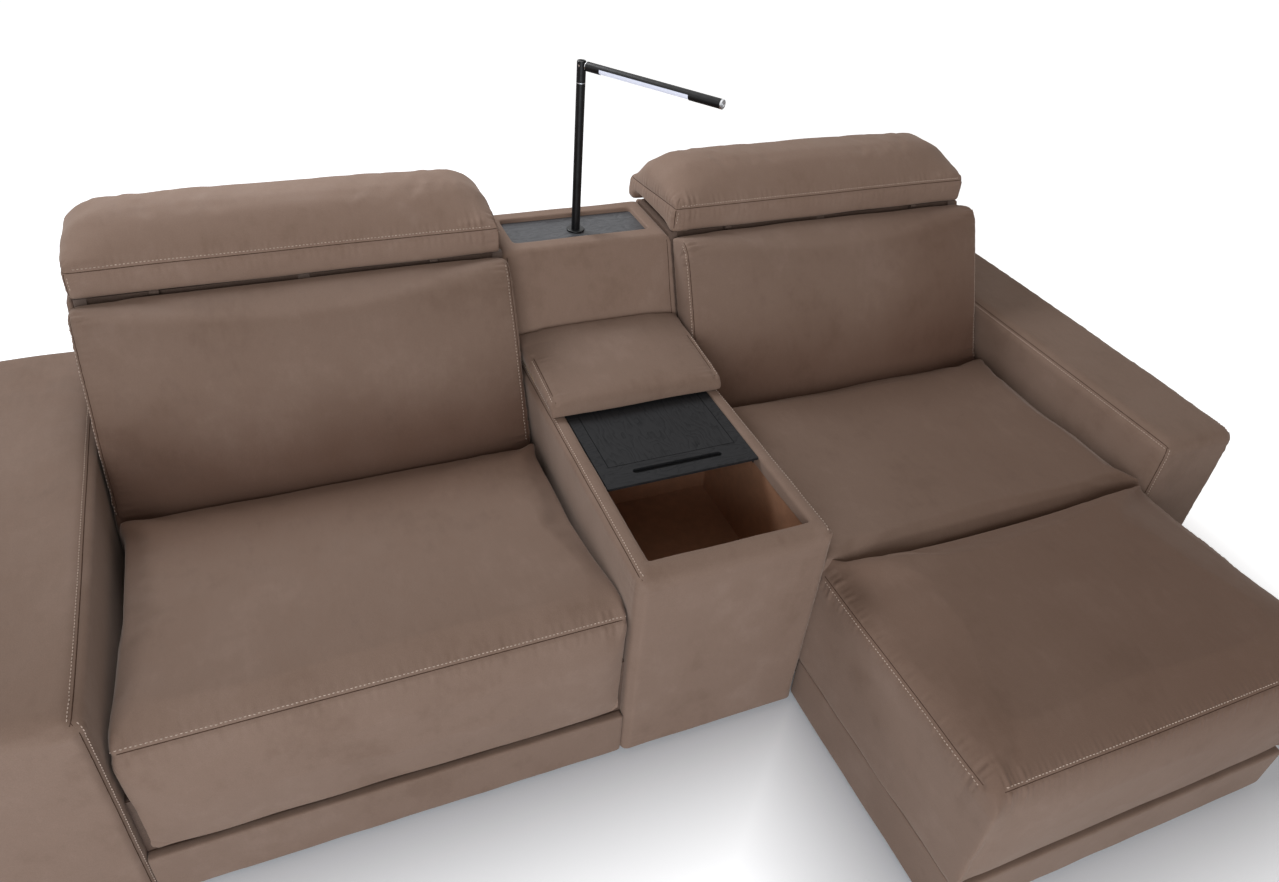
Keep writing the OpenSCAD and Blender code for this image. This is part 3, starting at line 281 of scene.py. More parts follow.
def oak(name, along, shift, polish, tone, gloss):
    """Open-pored black oak with a cathedral figure that runs along X or Y."""
    wood = chosen("wood")
    material, tree, shader, place = finish_of(name, Roughness=polish, Specular_IOR_Level=gloss)
    turn = (0, 0, 0) if along == "X" else (0, 0, math.pi / 2)
    place = node(tree, "Mapping", Vector=place, Location=shift, Rotation=turn).outputs[0]
    warp = cloud(tree, place, 5.0, 3.0, 0.5, (1.0, 2.4, 1.0))
    bent = vector(tree, "MULTIPLY_ADD", i0=warp, i1=(0.05, 0.30, 0.0), i2=place)
    squeezed = node(tree, "Mapping", Vector=bent, Scale=(0.16, 1.0, 0.05)).outputs[0]
    figure = {"wave_type": "RINGS", "rings_direction": "SPHERICAL", "wave_profile": "SAW"}
    rings = wave(tree, squeezed, 19.0, figure, Distortion=2.2, Detail=3.0, Detail_Scale=2.0)
    pores = cloud(tree, place, 520.0, 2.0, 0.7, (0.045, 1.0, 1.0))
    streak = cloud(tree, place, 120.0, 3.0, 0.6, (0.07, 1.0, 1.0))
    depth = sums(tree, "MULTIPLY", spread(tree, rings, 0.25, 0.95), spread(tree, streak, 0.3, 0.7, 0.35))
    pitted = sums(tree, "MULTIPLY", spread(tree, pores, 0.50, 0.66), 0.34)
    depth = sums(tree, "ADD", sums(tree, "MULTIPLY", depth, 0.62), pitted, True)
    feed(shader, Base_Color=ramp(tree, depth, (0.05, scaled(wood.oak, tone)), (0.95, scaled(wood.pore, tone))),
         Roughness=spread(tree, depth, 0.0, 1.0, polish - 0.05, polish + 0.22))
    bumps(tree, shader, (sums(tree, "SUBTRACT", 1.0, depth), 0.0003, 0.45))
    return material


def timber():
    material, tree, shader, place = finish_of("frame_timber", Roughness=0.62)
    warp = cloud(tree, place, 4.0, 2.0, 0.5, (1.0, 1.0, 0.4))
    bent = vector(tree, "MULTIPLY_ADD", i0=warp, i1=(0.2, 0.2, 0.2), i2=place)
    plies = wave(tree, bent, 26.0, {"bands_direction": "Z"}, Distortion=3.0)
    pores = cloud(tree, place, 300.0, 3.0, 0.6, (0.15, 0.15, 1.0))
    mixed = mixture(tree, (plies, 0.5), (pores, 0.5))
    feed(shader, Base_Color=shaded(tree, mixed, chosen("wood").beech, 0.66, 0.25))
    bumps(tree, shader, (pores, 0.0002, 0.4))
    return material


def lined(material, name, *edges):
    """A finish with brown lining cloth stuck on where it shows, past each edge (direction, distance).

    Distances are from the middle, the same on both sides of it, apart from those forwards and down.
    """
    material.name = name
    tree = material.node_tree
    shader = tree.nodes["Principled BSDF"]
    place = tree.nodes["Texture Coordinate"].outputs["Object"]
    away = vector(tree, "ABSOLUTE", i0=place)
    mask = 0.0
    for way, distance in edges:
        signed = way[0] == 0 and min(way) < 0
        along = vector(tree, "DOT_PRODUCT", "Value", i0=place if signed else away, i1=way)
        mask = sums(tree, "MAXIMUM", mask, sums(tree, "GREATER_THAN", along, distance))
    cloth = ramp(tree, cloud(tree, place, 500.0), (0.3, (0.100, 0.064, 0.047)), (0.7, (0.135, 0.088, 0.066)))
    bare = shader.inputs["Base Color"].links[0].from_socket
    feed(shader, Base_Color=blend_colours(tree, mask, bare, cloth))
    return material


def coated(name, tone, rough, metal=0.0, peel=0.00004, **more):
    """Painted metal or moulded plastic with a fine orange-peel skin and slight handling marks."""
    material, tree, shader, place = finish_of(name, Metallic=metal, **more)
    marks = cloud(tree, place, 38.0, 4.0, 0.6)
    lift = [min(1, c * 1.22 + 0.001) for c in tone]
    feed(shader, Base_Color=ramp(tree, marks, (0.3, tone), (0.75, lift)),
         Roughness=spread(tree, marks, 0.3, 0.7, rough - 0.04, rough + 0.06))
    bumps(tree, shader, (cloud(tree, place, 1400.0, 1.0), peel, 0.4))
    return material


def brushed_steel(name, tone):
    material, tree, shader, place = finish_of(name, Metallic=1.0, Anisotropic=0.4)
    lines = cloud(tree, place, 700.0, 2.0, 0.6, (0.05, 1.0, 1.0))
    feed(shader, Base_Color=shaded(tree, lines, tone, 0.8), Roughness=spread(tree, lines, 0.3, 0.7, 0.28, 0.42))
    bumps(tree, shader, (lines, 0.00003, 0.4))
    return material


def woven(name, tone, scale):
    """Elastic webbing or lining woven of crossed yarns."""
    material, tree, shader, place = finish_of(name, Roughness=0.9, Sheen_Weight=0.15)
    warp, weft = (wave(tree, place, scale, {"bands_direction": way}) for way in "XY")
    yarn = sums(tree, "MULTIPLY", warp, weft)
    feed(shader, Base_Color=shaded(tree, yarn, tone, 0.6, 0.1, 0.6))
    bumps(tree, shader, (yarn, 0.0004, 0.6))
    return material


def light_cover():
    material, tree, shader, place = finish_of("light_cover", Roughness=0.34, Emission_Strength=0.40,
                                              Emission_Color=(0.80, 0.84, 1.0, 1))
    frost = cloud(tree, place, 260.0, 2.0)
    feed(shader, Base_Color=shaded(tree, frost, chosen("lamp").cover, 0.93))
    bumps(tree, shader, (frost, 0.00005, 0.3))
    return material


def dress(material, *names):
    """Gives CAD nodes a better material in their own slots."""
    for name in names:
        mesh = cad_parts[name].data
        if not mesh.materials:
            mesh.materials.append(material)
        for index in range(len(mesh.materials)):
            mesh.materials[index] = material


# Meshes

def only(*objects):
    bpy.ops.object.select_all(action="DESELECT")
    for obj in objects:
        obj.select_set(True)
    bpy.context.view_layer.objects.active = objects[0]


def apply_all(obj):
    only(obj)
    for modifier in list(obj.modifiers):
        bpy.ops.object.modifier_apply(modifier=modifier.name)


def read(mesh, what):
    flat = np.empty(len(mesh.vertices) * 3, np.float32)
    mesh.vertices.foreach_get(what, flat)
    return flat.reshape(-1, 3).astype(float)


def places(mesh):
    return read(mesh, "co")


def facing(mesh):
    return read(mesh, "normal")


def move(mesh, points):
    mesh.vertices.foreach_set("co", points.astype(np.float32).ravel())
    mesh.update()


def new_piece(name, mesh):
    obj = bpy.data.objects.new(name, mesh)
    bpy.context.scene.collection.objects.link(obj)
    return obj


def solid_copy(name, *nodes):
    """One merged, closed copy of CAD nodes, to be covered."""
    made = bmesh.new()
    for source in nodes:
        made.from_mesh(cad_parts[source].data)
    bmesh.ops.remove_doubles(made, verts=made.verts, dist=0.00002)
    mesh = bpy.data.meshes.new(name)
    made.to_mesh(mesh)
    made.free()
    return new_piece(name, mesh)


def relax(obj, rounds):
    smooth = obj.modifiers.new("relax", "SMOOTH")
    smooth.factor, smooth.iterations = 0.5, rounds


def remesh(obj, size, rounds):
    skin = obj.modifiers.new("skin", "REMESH")
    skin.mode, skin.voxel_size, skin.use_smooth_shade = "VOXEL", size, True
    relax(obj, rounds)
    apply_all(obj)


def coat(obj, material):
    obj.data.materials.clear()
    obj.data.materials.append(material)


def smooth_coat(obj, material):
    """Leaves a piece smoothly shaded, in one material."""
    for polygon in obj.data.polygons:
        polygon.use_smooth = True
    coat(obj, material)


def box_of(nodes):
    """Lowest and highest corners of the box round some CAD nodes."""
    low, high = zip(*(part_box(n) for n in nodes))
    return [min(c[k] for c in low) for k in range(3)], [max(c[k] for c in high) for k in range(3)]


def surface_of(obj):
    return BVHTree.FromPolygons([v.co for v in obj.data.vertices], [p.vertices[:] for p in obj.data.polygons])


RAY_START, RAY_LENGTH = 0.16, 0.4  # how far outside its target a ray starts, and how far it looks
TURN_LENGTH = 0.06  # length of route that a full turn of the rays counts for


def between(s, lengths, rows):
    """The place at a length along a run of rows."""
    return Vector([np.interp(s, lengths, rows[:, k]) for k in range(3)])


def trace(surface, through, ways, step=0.004):
    """Points and normals where rays through a route of targets meet a surface."""
    targets, ways = np.array(through, float), np.array(ways, float)
    if len(ways) == 1:
        ways = np.repeat(ways, len(targets), 0)
    run = np.linalg.norm(np.diff(targets, axis=0), axis=1)
    turn = np.linalg.norm(np.diff(ways, axis=0), axis=1) * TURN_LENGTH
    pace = np.concatenate([[0], np.cumsum(np.maximum(run, turn))])
    count = max(8, int(pace[-1] / step))
    found = []
    for s in np.linspace(0, pace[-1], count + 1):
        at, way = between(s, pace, targets), between(s, pace, ways).normalized()
        hit, normal, _, _ = surface.ray_cast(at - way * RAY_START, way, RAY_LENGTH)
        if hit is None:
            hit, normal, _, _ = surface.find_nearest(at)
        found.append((*hit, *normal))
    found = np.array(found)
    for _ in range(3):
        found[1:-1] = 0.25 * found[:-2] + 0.5 * found[1:-1] + 0.25 * found[2:]
    return found[:, :3], found[:, 3:]


def near(points, route):
    """For each point, its distance to a route and how far along the route that is."""
    best, where = np.full(len(points), 1e9), np.zeros(len(points))
    done = 0.0
    for a, b in zip(route[:-1:2], route[2::2]):
        run = b - a
        size = max(np.linalg.norm(run), 1e-6)
        t = np.clip((points - a) @ run / size ** 2, 0, 1)
        gap = np.linalg.norm(points - a - t[:, None] * run, axis=1)
        closer = gap < best
        best[closer] = gap[closer]
        where[closer] = done + t[closer] * size
        done += size
    return best, where


def waves(s, seed):
    """A repeatable run of small gathers along a seam, in metres."""
    dice = np.random.default_rng(seed)
    total = np.zeros_like(s)
    for size in (0.013, 0.019, 0.031, 0.052):
        total += np.sin(2 * math.pi * s / (size * dice.uniform(0.85, 1.15)) + dice.uniform(0, 6.28))
    return total / 3


def lumps(points, size, seed):
    """Smooth hills and hollows, between about -1 and 1."""
    dice = np.random.default_rng(seed)
    total = np.zeros(len(points))
    for _ in range(7):
        way = dice.normal(size=3)
        way /= np.linalg.norm(way)
        total += np.sin(points @ way * 2 * math.pi / (size * dice.uniform(0.7, 1.5)) + dice.uniform(0, 6.28))
    return total / 3


def crown(obj, amount, box):
    """Pushes the middle of each face of a boxy cover outwards."""
    points, out = places(obj.data), facing(obj.data)
    low, high = np.array(box[0]), np.array(box[1])
    t = np.clip((points - low) / np.maximum(high - low, 1e-4) * 2 - 1, -1, 1)
    fade = 1 - t ** 4
    push = sum(np.abs(out[:, k]) * fade[:, (k + 1) % 3] * fade[:, (k + 2) % 3] for k in range(3))
    move(obj.data, points + out * (push * amount)[:, None])


# Sewing

def rise(values, start, end):
    """Smooth steps from 0 at start to 1 at end."""
    t = np.clip((values - start) / (end - start), 0, 1)
    return t * t * (3 - 2 * t)


@dataclass
class Seam:
    """A sewn line on a cover: the route its rays go through, their ways, and its rows of stitches."""
    through: list
    ways: list
    rows: tuple = (1,)
    fold: bool = True
    dip: float = 1.0
    pucker: float = 1.0


HELD_SHARE = 0.6  # of the cloth's mesh, held beside a seam
REFINED = 0.034  # width beside a seam with finer faces
VALLEY, SEAM_END = 0.007, 0.05  # width of a seam's valley, and length of its ends
GATHER_FROM, GATHER_TO, GATHER_FAN, GATHER_MORE = 0.006, 0.026, 0.030, 1.8  # where gathers run, and more at the ends


def hold(obj, seams, rests):
    """Vertices that the filling doesn't move: along the seams, and where the pad rests."""
    points = places(obj.data)
    held = rests(points)
    surface = surface_of(obj)
    for seam in seams:
        route, _ = trace(surface, seam.through, seam.ways)
        held |= near(points, route)[0] < HELD_SHARE * chosen("fill").mesh
    return held


def refine(obj, seams):
    """Halves the faces beside the seams, so that gathers can run out of them."""
    if not seams:
        return
    surface, points = surface_of(obj), places(obj.data)
    close = np.zeros(len(points), bool)
    for seam in seams:
        close |= near(points, trace(surface, seam.through, seam.ways)[0])[0] < REFINED
    only(obj)
    bpy.ops.object.mode_set(mode="EDIT")
    bpy.ops.mesh.select_all(action="DESELECT")
    made = bmesh.from_edit_mesh(obj.data)
    made.verts.ensure_lookup_table()
    for face in made.faces:
        face.select_set(all(close[v.index] for v in face.verts))
    bmesh.update_edit_mesh(obj.data)
    bpy.ops.mesh.subdivide(number_cuts=1, smoothness=0.5)
    bpy.ops.object.mode_set(mode="OBJECT")


def draw_in(obj, seams, seed):
    """Pulls a valley along each seam, with small gathers running out of it."""
    sewing = chosen("seam")
    surface = surface_of(obj)
    points, out = places(obj.data), facing(obj.data)
    shift = np.zeros(len(points))
    for index, seam in enumerate(seams):
        route, _ = trace(surface, seam.through, seam.ways)
        gap, along = near(points, route)
        shift -= sewing.dip * seam.dip * np.exp(-(gap / VALLEY) ** 2)
        ends = np.exp(-(np.minimum(along, along.max() - along) / SEAM_END) ** 2)
        reach = np.exp(-(gap / (GATHER_TO + GATHER_FAN * ends)) ** 2) * (1 - np.exp(-(gap / GATHER_FROM) ** 2))
        shift += sewing.pucker * seam.pucker * reach * (1 + GATHER_MORE * ends) * waves(along, seed + index)
    move(obj.data, points + out * shift[:, None])


def stitch_mesh():
    """One topstitch: a short thread, fullest in the middle, whose ends dive into the hide."""
    sewing = chosen("seam")
    bpy.ops.object.select_all(action="DESELECT")
    bpy.ops.mesh.primitive_cylinder_add(vertices=6, radius=sewing.thread, depth=sewing.stitch,
                                        end_fill_type="TRIFAN", rotation=(0, math.pi / 2, 0))
    obj = bpy.context.object
    bpy.ops.object.transform_apply(location=True, rotation=True, scale=True)
    bpy.ops.object.mode_set(mode="EDIT")
    bpy.ops.mesh.select_all(action="DESELECT")
    made = bmesh.from_edit_mesh(obj.data)
    for edge in made.edges:
        edge.select_set(abs(edge.verts[0].co.x - edge.verts[1].co.x) > 0.5 * sewing.stitch)
    bmesh.update_edit_mesh(obj.data)
    bpy.ops.mesh.subdivide(number_cuts=2)
    made = bmesh.from_edit_mesh(obj.data)
    for vert in made.verts:
        if abs(vert.co.x) > 0.45 * sewing.stitch:
            vert.co.z = vert.co.z * 0.5 - 1.1 * sewing.thread
            vert.co.y *= 0.5
    bmesh.update_edit_mesh(obj.data)
    bpy.ops.object.mode_set(mode="OBJECT")
    points = places(obj.data)
    faces = [tuple(p.vertices) for p in obj.data.polygons]
    bpy.data.objects.remove(obj)
    return points, faces


def sew(cover, seams, body="sofa"):
    """Folds and topstitches along the seams of a finished cover, as pieces that ride with it."""
    sewing = chosen("seam")
    one, faces = stitch_mesh()
    surface = surface_of(cover)
    points, polygons, folds = [], [], []
    for seam in seams:
        route, out = trace(surface, seam.through, seam.ways, 0.003)
        out /= np.linalg.norm(out, axis=1)[:, None]
        # Painted shade: a dark tube laid along the seam for the shade in its fold.
        if seam.fold:
            folds.append(route - out * sewing.fold * 0.45)
        run = np.concatenate([[0], np.cumsum(np.linalg.norm(np.diff(route, axis=0), axis=1))])
        heading = np.gradient(route, axis=0)
        heading /= np.linalg.norm(heading, axis=1)[:, None]
        for row in seam.rows:
            beside = route + np.cross(out, heading) * row * sewing.offset
            s = sewing.pitch
            while s < run[-1] - sewing.pitch:
                hit, z, _, _ = surface.find_nearest(between(s, run, beside), 0.03)
                if hit is not None:
                    y = z.cross(between(s, run, heading)).normalized()
                    x = y.cross(z).normalized()
                    polygons += [tuple(i + len(points) * len(one) for i in f) for f in faces]
                    points.append(one @ np.array((x, y, z)) + np.array(hit + z * sewing.thread * 0.7))
                s += sewing.pitch
    made = []
    if points:
        mesh = bpy.data.meshes.new(cover.name + "_stitches")
        mesh.from_pydata(np.concatenate(points).tolist(), [], polygons)
        made.append((new_piece(mesh.name, mesh), "thread"))
    if folds:
        curve = bpy.data.curves.new(cover.name + "_folds", "CURVE")
        curve.dimensions, curve.bevel_depth, curve.bevel_resolution = "3D", sewing.fold, 1
        curve.use_fill_caps = True
        for route in folds:
            line = curve.splines.new("POLY")
            line.points.add(len(route) - 1)
            for knot, place in zip(line.points, route):
                knot.co = (*place, 1)
        obj = new_piece(curve.name, curve)
        only(obj)
        bpy.ops.object.convert(target="MESH")
        made.append((obj, "seam_shade_fold"))
    for obj, finish in made:
        smooth_coat(obj, bpy.data.materials[finish])
        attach(obj, body)


# Covers

@dataclass
class Pad:
    """A stuffed cover made over CAD nodes. Free gives more room past their box, as (axis and side, room)."""
    name: str
    body: str
    nodes: list
    seams: list
    rests: object
    fill: float
    size: float = 0.0
    swell: float = 1.0
    seed: int = 1
    free: tuple = ()
    shape: object = None
    obj: object = None

    def box(self):
        low, high = box_of(self.nodes)
        for side, room in self.free:
            (high if side > 0 else low)[abs(side) - 1] += room * (1 if side > 0 else -1)
        return low, high


def prepare(pad):
    """Cuts the pad's cover and sets its cloth up, with the seams and resting faces held."""
    filling = chosen("fill")
    obj = solid_copy(pad.name, *pad.nodes)
    size = pad.size or filling.mesh
    remesh(obj, size, 3)
    if pad.shape:
        move(obj.data, pad.shape(places(obj.data)))
    inset = filling.inset * pad.swell
    held = hold(obj, pad.seams, pad.rests)
    points, out = places(obj.data), facing(obj.data)
    rest = pad.rests(points)
    move(obj.data, points - out * np.where(rest, 0.0005, inset)[:, None])
    pad.obj = obj
    group = obj.vertex_groups.new(name="held")
    group.add([int(i) for i in np.nonzero(held)[0]], 1.0, "REPLACE")
    cloth = obj.modifiers.new("filling", "CLOTH")
    cloth.settings.quality = 4
    cloth.settings.mass = 0.35
    cloth.settings.tension_stiffness = cloth.settings.compression_stiffness = 12
    cloth.settings.shear_stiffness = 5
    cloth.settings.bending_stiffness = 1.2
    cloth.settings.use_pressure = True
    cloth.settings.uniform_pressure_force = filling.pressure
    cloth.settings.effector_weights.gravity = 0
    cloth.settings.vertex_group_mass = "held"
    cloth.collision_settings.use_collision = False
    cloth.point_cache.frame_start = 1
    cloth.point_cache.frame_end = filling.steps


def simulate(pads):
    """Fills every prepared pad at once, and keeps the result within the most swelling."""
    filling = chosen("fill")
    scene = bpy.context.scene
    for step in range(1, filling.steps + 1):
        scene.frame_set(step)
    graph = bpy.context.evaluated_depsgraph_get()
    for pad in pads:
        filled = places(pad.obj.evaluated_get(graph).data)
        start = places(pad.obj.data)
        pad.obj.modifiers.clear()
        shift = filled - start
        size = np.linalg.norm(shift, axis=1)
        most = filling.swell * pad.swell
        soft = most * np.tanh(size / most)
        move(pad.obj.data, start + shift * (soft / np.maximum(size, 1e-9))[:, None])
    scene.frame_set(1)


def settle(obj, box, height, size, seed, room):
    """Gives a cover soft lumps, and keeps it in a box that is smaller by a room all round."""
    points, out = places(obj.data), facing(obj.data)
    points += out * (height * lumps(points, size, seed))[:, None]
    move(obj.data, np.clip(points, np.array(box[0]) + room, np.array(box[1]) - room))


def hand_over(obj, body, nodes, material):
    """Puts a finished cover in the place of its CAD nodes."""
    smooth_coat(obj, material)
    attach(obj, body)
    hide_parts(*nodes)


def close_up(pad, material):
    """Smooths a filled pad, keeps it in its room, draws its seams in and hands it over."""
    obj = pad.obj
    relax(obj, 2)
    finer = obj.modifiers.new("finer", "SUBSURF")
    finer.levels = finer.render_levels = 1
    apply_all(obj)
    refine(obj, pad.seams)
    settle(obj, pad.box(), 0.0016 * pad.swell, 0.23, pad.seed, 0.0006)
    draw_in(obj, pad.seams, 10 * pad.seed)
    hand_over(obj, pad.body, pad.nodes, material)


def firm_cover(name, nodes, material, seams, puff, size, seed, rounds=4):
    """A hide pulled over a firm board or shell: rounded, slightly full, with its seams drawn in."""
    obj = solid_copy(name, *nodes)
    remesh(obj, size, rounds)
    box = box_of(nodes)
    crown(obj, puff, box)
    settle(obj, box, 0.0007, 0.16, seed, -0.0004)
    draw_in(obj, seams, 20 * seed)
    hand_over(obj, "sofa", nodes, material)
    return obj


# Seam routes

def mirrored(points, side):
    return [(side * x, y, z) for x, y, z in points]


def side_seam(side, through, ways, **more):
    """A seam given for the right side, on either side."""
    return Seam(mirrored(through, side), mirrored(ways, side), **more)


def headrest_seams(side):
    """The border seam all round a headrest, and the short seams at its front corners."""
    (x0, y0, _), (x1, y1, _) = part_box("right_headrest_pad")
    seam, rear, foot = 0.862, 0.836, 0.812
    rim, edge, corner = 0.01, 0.02, 0.03
    loop = [(x0 + edge, y0 + rim, seam), (x1 - edge, y0 + rim, seam), (x1 - rim, y0 + corner, seam),
            (x1 - rim, y1 - corner, rear), (x1 - edge, y1 - rim, rear), (x0 + edge, y1 - rim, rear),
            (x0 + rim, y1 - corner, rear), (x0 + rim, y0 + corner, seam), (x0 + edge, y0 + rim, seam)]
    ways = [(0, 1, 0), (0, 1, 0), (-1, 0, 0), (-1, 0, 0), (0, -1, 0), (0, -1, 0), (1, 0, 0), (1, 0, 0), (0, 1, 0)]
    ends = [side_seam(side, [(x, y0 + 0.012, seam - 0.004), (x, y0 + 0.012, foot)], [way], dip=0.6, pucker=0.4)
            for x, way in ((x0 + 0.012, (0.7, 0.7, 0)), (x1 - 0.012, (-0.7, 0.7, 0)))]
    return [side_seam(side, loop, ways, rows=()),
            side_seam(side, loop[:2], ways[:1], rows=(side,), fold=False, dip=0, pucker=0), *ends]


def back_seams(side):
    """The two seams that run up the ends of a back cushion's face."""
    face = [(0.315, 0.420), (0.341, 0.480), (0.381, 0.546), (0.409, 0.614), (0.438, 0.680), (0.471, 0.745),
            (0.501, 0.786), (0.530, 0.800)]
    return [side_seam(side, [(x, y, z) for y, z in face],
                      [(tilt, 0.95, -0.3)] * (len(face) - 1) + [(tilt, 0.45, -0.9)])
            for x, tilt in ((SEAT_IN + 0.011, 0.15), (SEAT_OUT - 0.011, -0.15))]


def seat_front_seam(x0, x1, front):
    return Seam([(x0, front + 0.030, 0.425), (x1, front + 0.030, 0.425)], [(0, 0.62, -0.78)])


# Cushions

HIDES = {  # the hide of each cushion: its name, its painted brightness and its zones of painted shade
    "left_seat": ("seat_nubuck", 1.0, ("Y", 0.02, 0.33, (0.74, 0.63, 0.56))),
    "right_seat": ("right_seat_nubuck", 0.93, ("Y", 0.05, 0.36, (0.88, 0.82, 0.78)),
                   ("X", 0.30, 0.85, (0.84, 0.79, 0.76))),
    "chaise": ("chaise_nubuck", 0.95, ("Z", 0.36, 0.45, (0.80, 0.75, 0.72)), ("X", 0.35, 0.90, (0.90, 0.86, 0.84))),
    "left_back": ("back_nubuck", 1.0, ("Z", 0.70, 0.45, (0.52, 0.43, 0.39))),
    "right_back": ("right_back_nubuck", 1.0, ("Z", 0.70, 0.45, (0.66, 0.57, 0.53)),
                   ("X", 0.65, 1.05, (0.84, 0.78, 0.75))),
    "left_headrest_cover": ("headrest_nubuck", 1.16),
    "right_headrest_cover": ("headrest_nubuck", 1.16),
    "bolster": ("brushed_nubuck", 1.0),
}
ABOVE = (3, 0.006)  # room for the filling to rise
JOINT_LIFT, JOINT_LEAN = 0.009, 0.005  # how cushions meet: up, and towards each other


def seat_rests(front):
    return lambda p: (p[:, 2] < 0.300) & (p[:, 1] > front + 0.03) | (p[:, 2] < 0.145)


def beside_console(p):
    """Fills a seat's edge against the console's wall."""
    x, _, z = p.T
    edge = rise(-np.abs(x), -0.266, -0.236) * rise(z, 0.36, 0.42)
    x -= np.sign(x) * 0.005 * edge
    z += 0.008 * edge
    return p


def seat_shape(p):
    """Brings the right seat's front up to the chaise's cushion."""
    _, y, z = p.T
    joint = rise(-y, 0.262, 0.296) * rise(z, 0.40, 0.44)
    z += JOINT_LIFT * joint
    y -= JOINT_LEAN * joint
    return beside_console(p)


def chaise_shape(p):
    """Brings the chaise back to the right seat and round the console's front corner, wider at its foot."""
    x, y, z = p.T
    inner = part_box("chaise_side_panels")[0].x
    corner = rise(-x, -inner - 0.048, -inner - 0.020) * rise(y, FRONT - 0.025, FRONT + 0.008)
    reach = 0.004 + 0.014 * rise(-z, -0.42, -0.15)
    x -= reach * rise(-x, -inner - 0.050, -inner - 0.022)
    joint = rise(y, FRONT - 0.026, FRONT + 0.011) * rise(z, 0.40, 0.44)
    y += 0.035 * corner + JOINT_LEAN * joint * (1 - corner)
    z += JOINT_LIFT * joint
    return p


def back_shape(p):
    """Lifts a back cushion's top towards the headrest."""
    _, y, z = p.T
    lift = rise(z, 0.76, 0.80) * rise(y, 0.49, 0.55)
    z += JOINT_LIFT * lift
    y += JOINT_LEAN * lift
    return p


def headrest_shape(p):
    """Fills a headrest's ends, and lets its front hang a little lower."""
    x, y, z = p.T
    low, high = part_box("right_headrest_pad")
    for end in (low.x, high.x):
        inward = np.abs(np.abs(x) - end)
        close = np.exp(-((inward - 0.030) / 0.085) ** 2) * rise(z, 0.846, 0.872)
        z += (0.014 + 0.010 * rise(y, 0.72, 0.86)) * close
    under = rise(-z, -0.832, -0.812) * rise(-y, -0.65, -0.61)
    z -= 0.008 * under
    y -= 0.003 * under
    return p


def seat_pads():
    low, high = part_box("left_seat_cushion")
    left = Pad("left_seat", "sofa", ["left_seat_cushion"],
               [seat_front_seam(low.x + 0.004, high.x - 0.004, FRONT)], seat_rests(FRONT), 0.75, seed=1,
               free=(ABOVE,), shape=beside_console)
    seat_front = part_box("right_seat_cushion")[0].y
    right = Pad("right_seat", "sofa", ["right_seat_cushion"], [],
                lambda p: (p[:, 2] < 0.305) | (p[:, 1] < seat_front + 0.006) & (p[:, 2] < 0.42), 0.75,
                size=0.010, seed=2, free=(ABOVE,), shape=seat_shape)
    low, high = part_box("chaise_side_panels")
    inner, outer, top = low.x - 0.004, high.x, high.z - 0.006
    sides = [Seam([(x, CHAISE_FRONT + 0.06, top), (x, FRONT + 0.012, top)], [(0.8 * row, 0, -0.6)], rows=(row,))
             for x, row in ((inner + 0.004, 1), (outer - 0.004, -1))]

    def chaise_rests(p):
        firm = (p[:, 0] < inner + 0.008) | (p[:, 0] > outer - 0.008)
        return seat_rests(CHAISE_FRONT)(p) | firm & (p[:, 2] < top - 0.03)

    chaise = Pad("chaise", "sofa", ["chaise_cushion", "chaise_side_panels"],
                 [seat_front_seam(inner + 0.03, outer - 0.03, CHAISE_FRONT), *sides], chaise_rests, 0.75,
                 size=0.010, seed=3, free=(ABOVE, (-1, 0.006), (2, 0.036)), shape=chaise_shape)
    return [left, right, chaise]


def back_pads():
    pads = []
    for side, name in ((-1, "left"), (1, "right")):
        pads.append(Pad(name + "_back", "sofa", [name + "_back_cushion"], back_seams(side),
                        lambda p: (p[:, 2] < 0.305) | (p[:, 1] > 0.36 + (p[:, 2] - 0.3) * 0.44),
                        0.7, seed=6 + side, free=((-2, 0.004), ABOVE), shape=back_shape))
        pads.append(Pad(name + "_headrest_cover", name + "_headrest", [name + "_headrest_pad"],
                        headrest_seams(side), lambda p: p[:, 2] < 0.812, 0.7, size=0.010, swell=0.55,
                        seed=9 + side, free=(ABOVE, (-2, 0.003)), shape=headrest_shape))
    return pads


def bolster_pad():
    low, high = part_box("bolster_pad")
    middle = ((low.y + high.y) / 2 - 0.02, 0.575)
    arc = [(0, math.cos(a), -math.sin(a)) for a in (math.radians(d) for d in (8, 40, 65, 90, 120, 150))]
    ends = [Seam([(x, *middle)] * len(arc), arc, rows=(row,), pucker=0.35)
            for x, row in ((low.x + 0.018, 1), (high.x - 0.018, -1))]
    return Pad("bolster", "sofa", ["bolster_pad"], ends, lambda p: (p[:, 2] < 0.572) | (p[:, 1] > 0.46), 0.8,
               size=0.008, swell=0.45, seed=14, free=((3, 0.004),))


# Operators

LENS, CAMERA_PLACE = 26.412, (-0.792303, -1.426172, 1.850920)
CAMERA_YAW, CAMERA_PITCH, CAMERA_ROLL = -26.0148, 37.5591, 5.4813


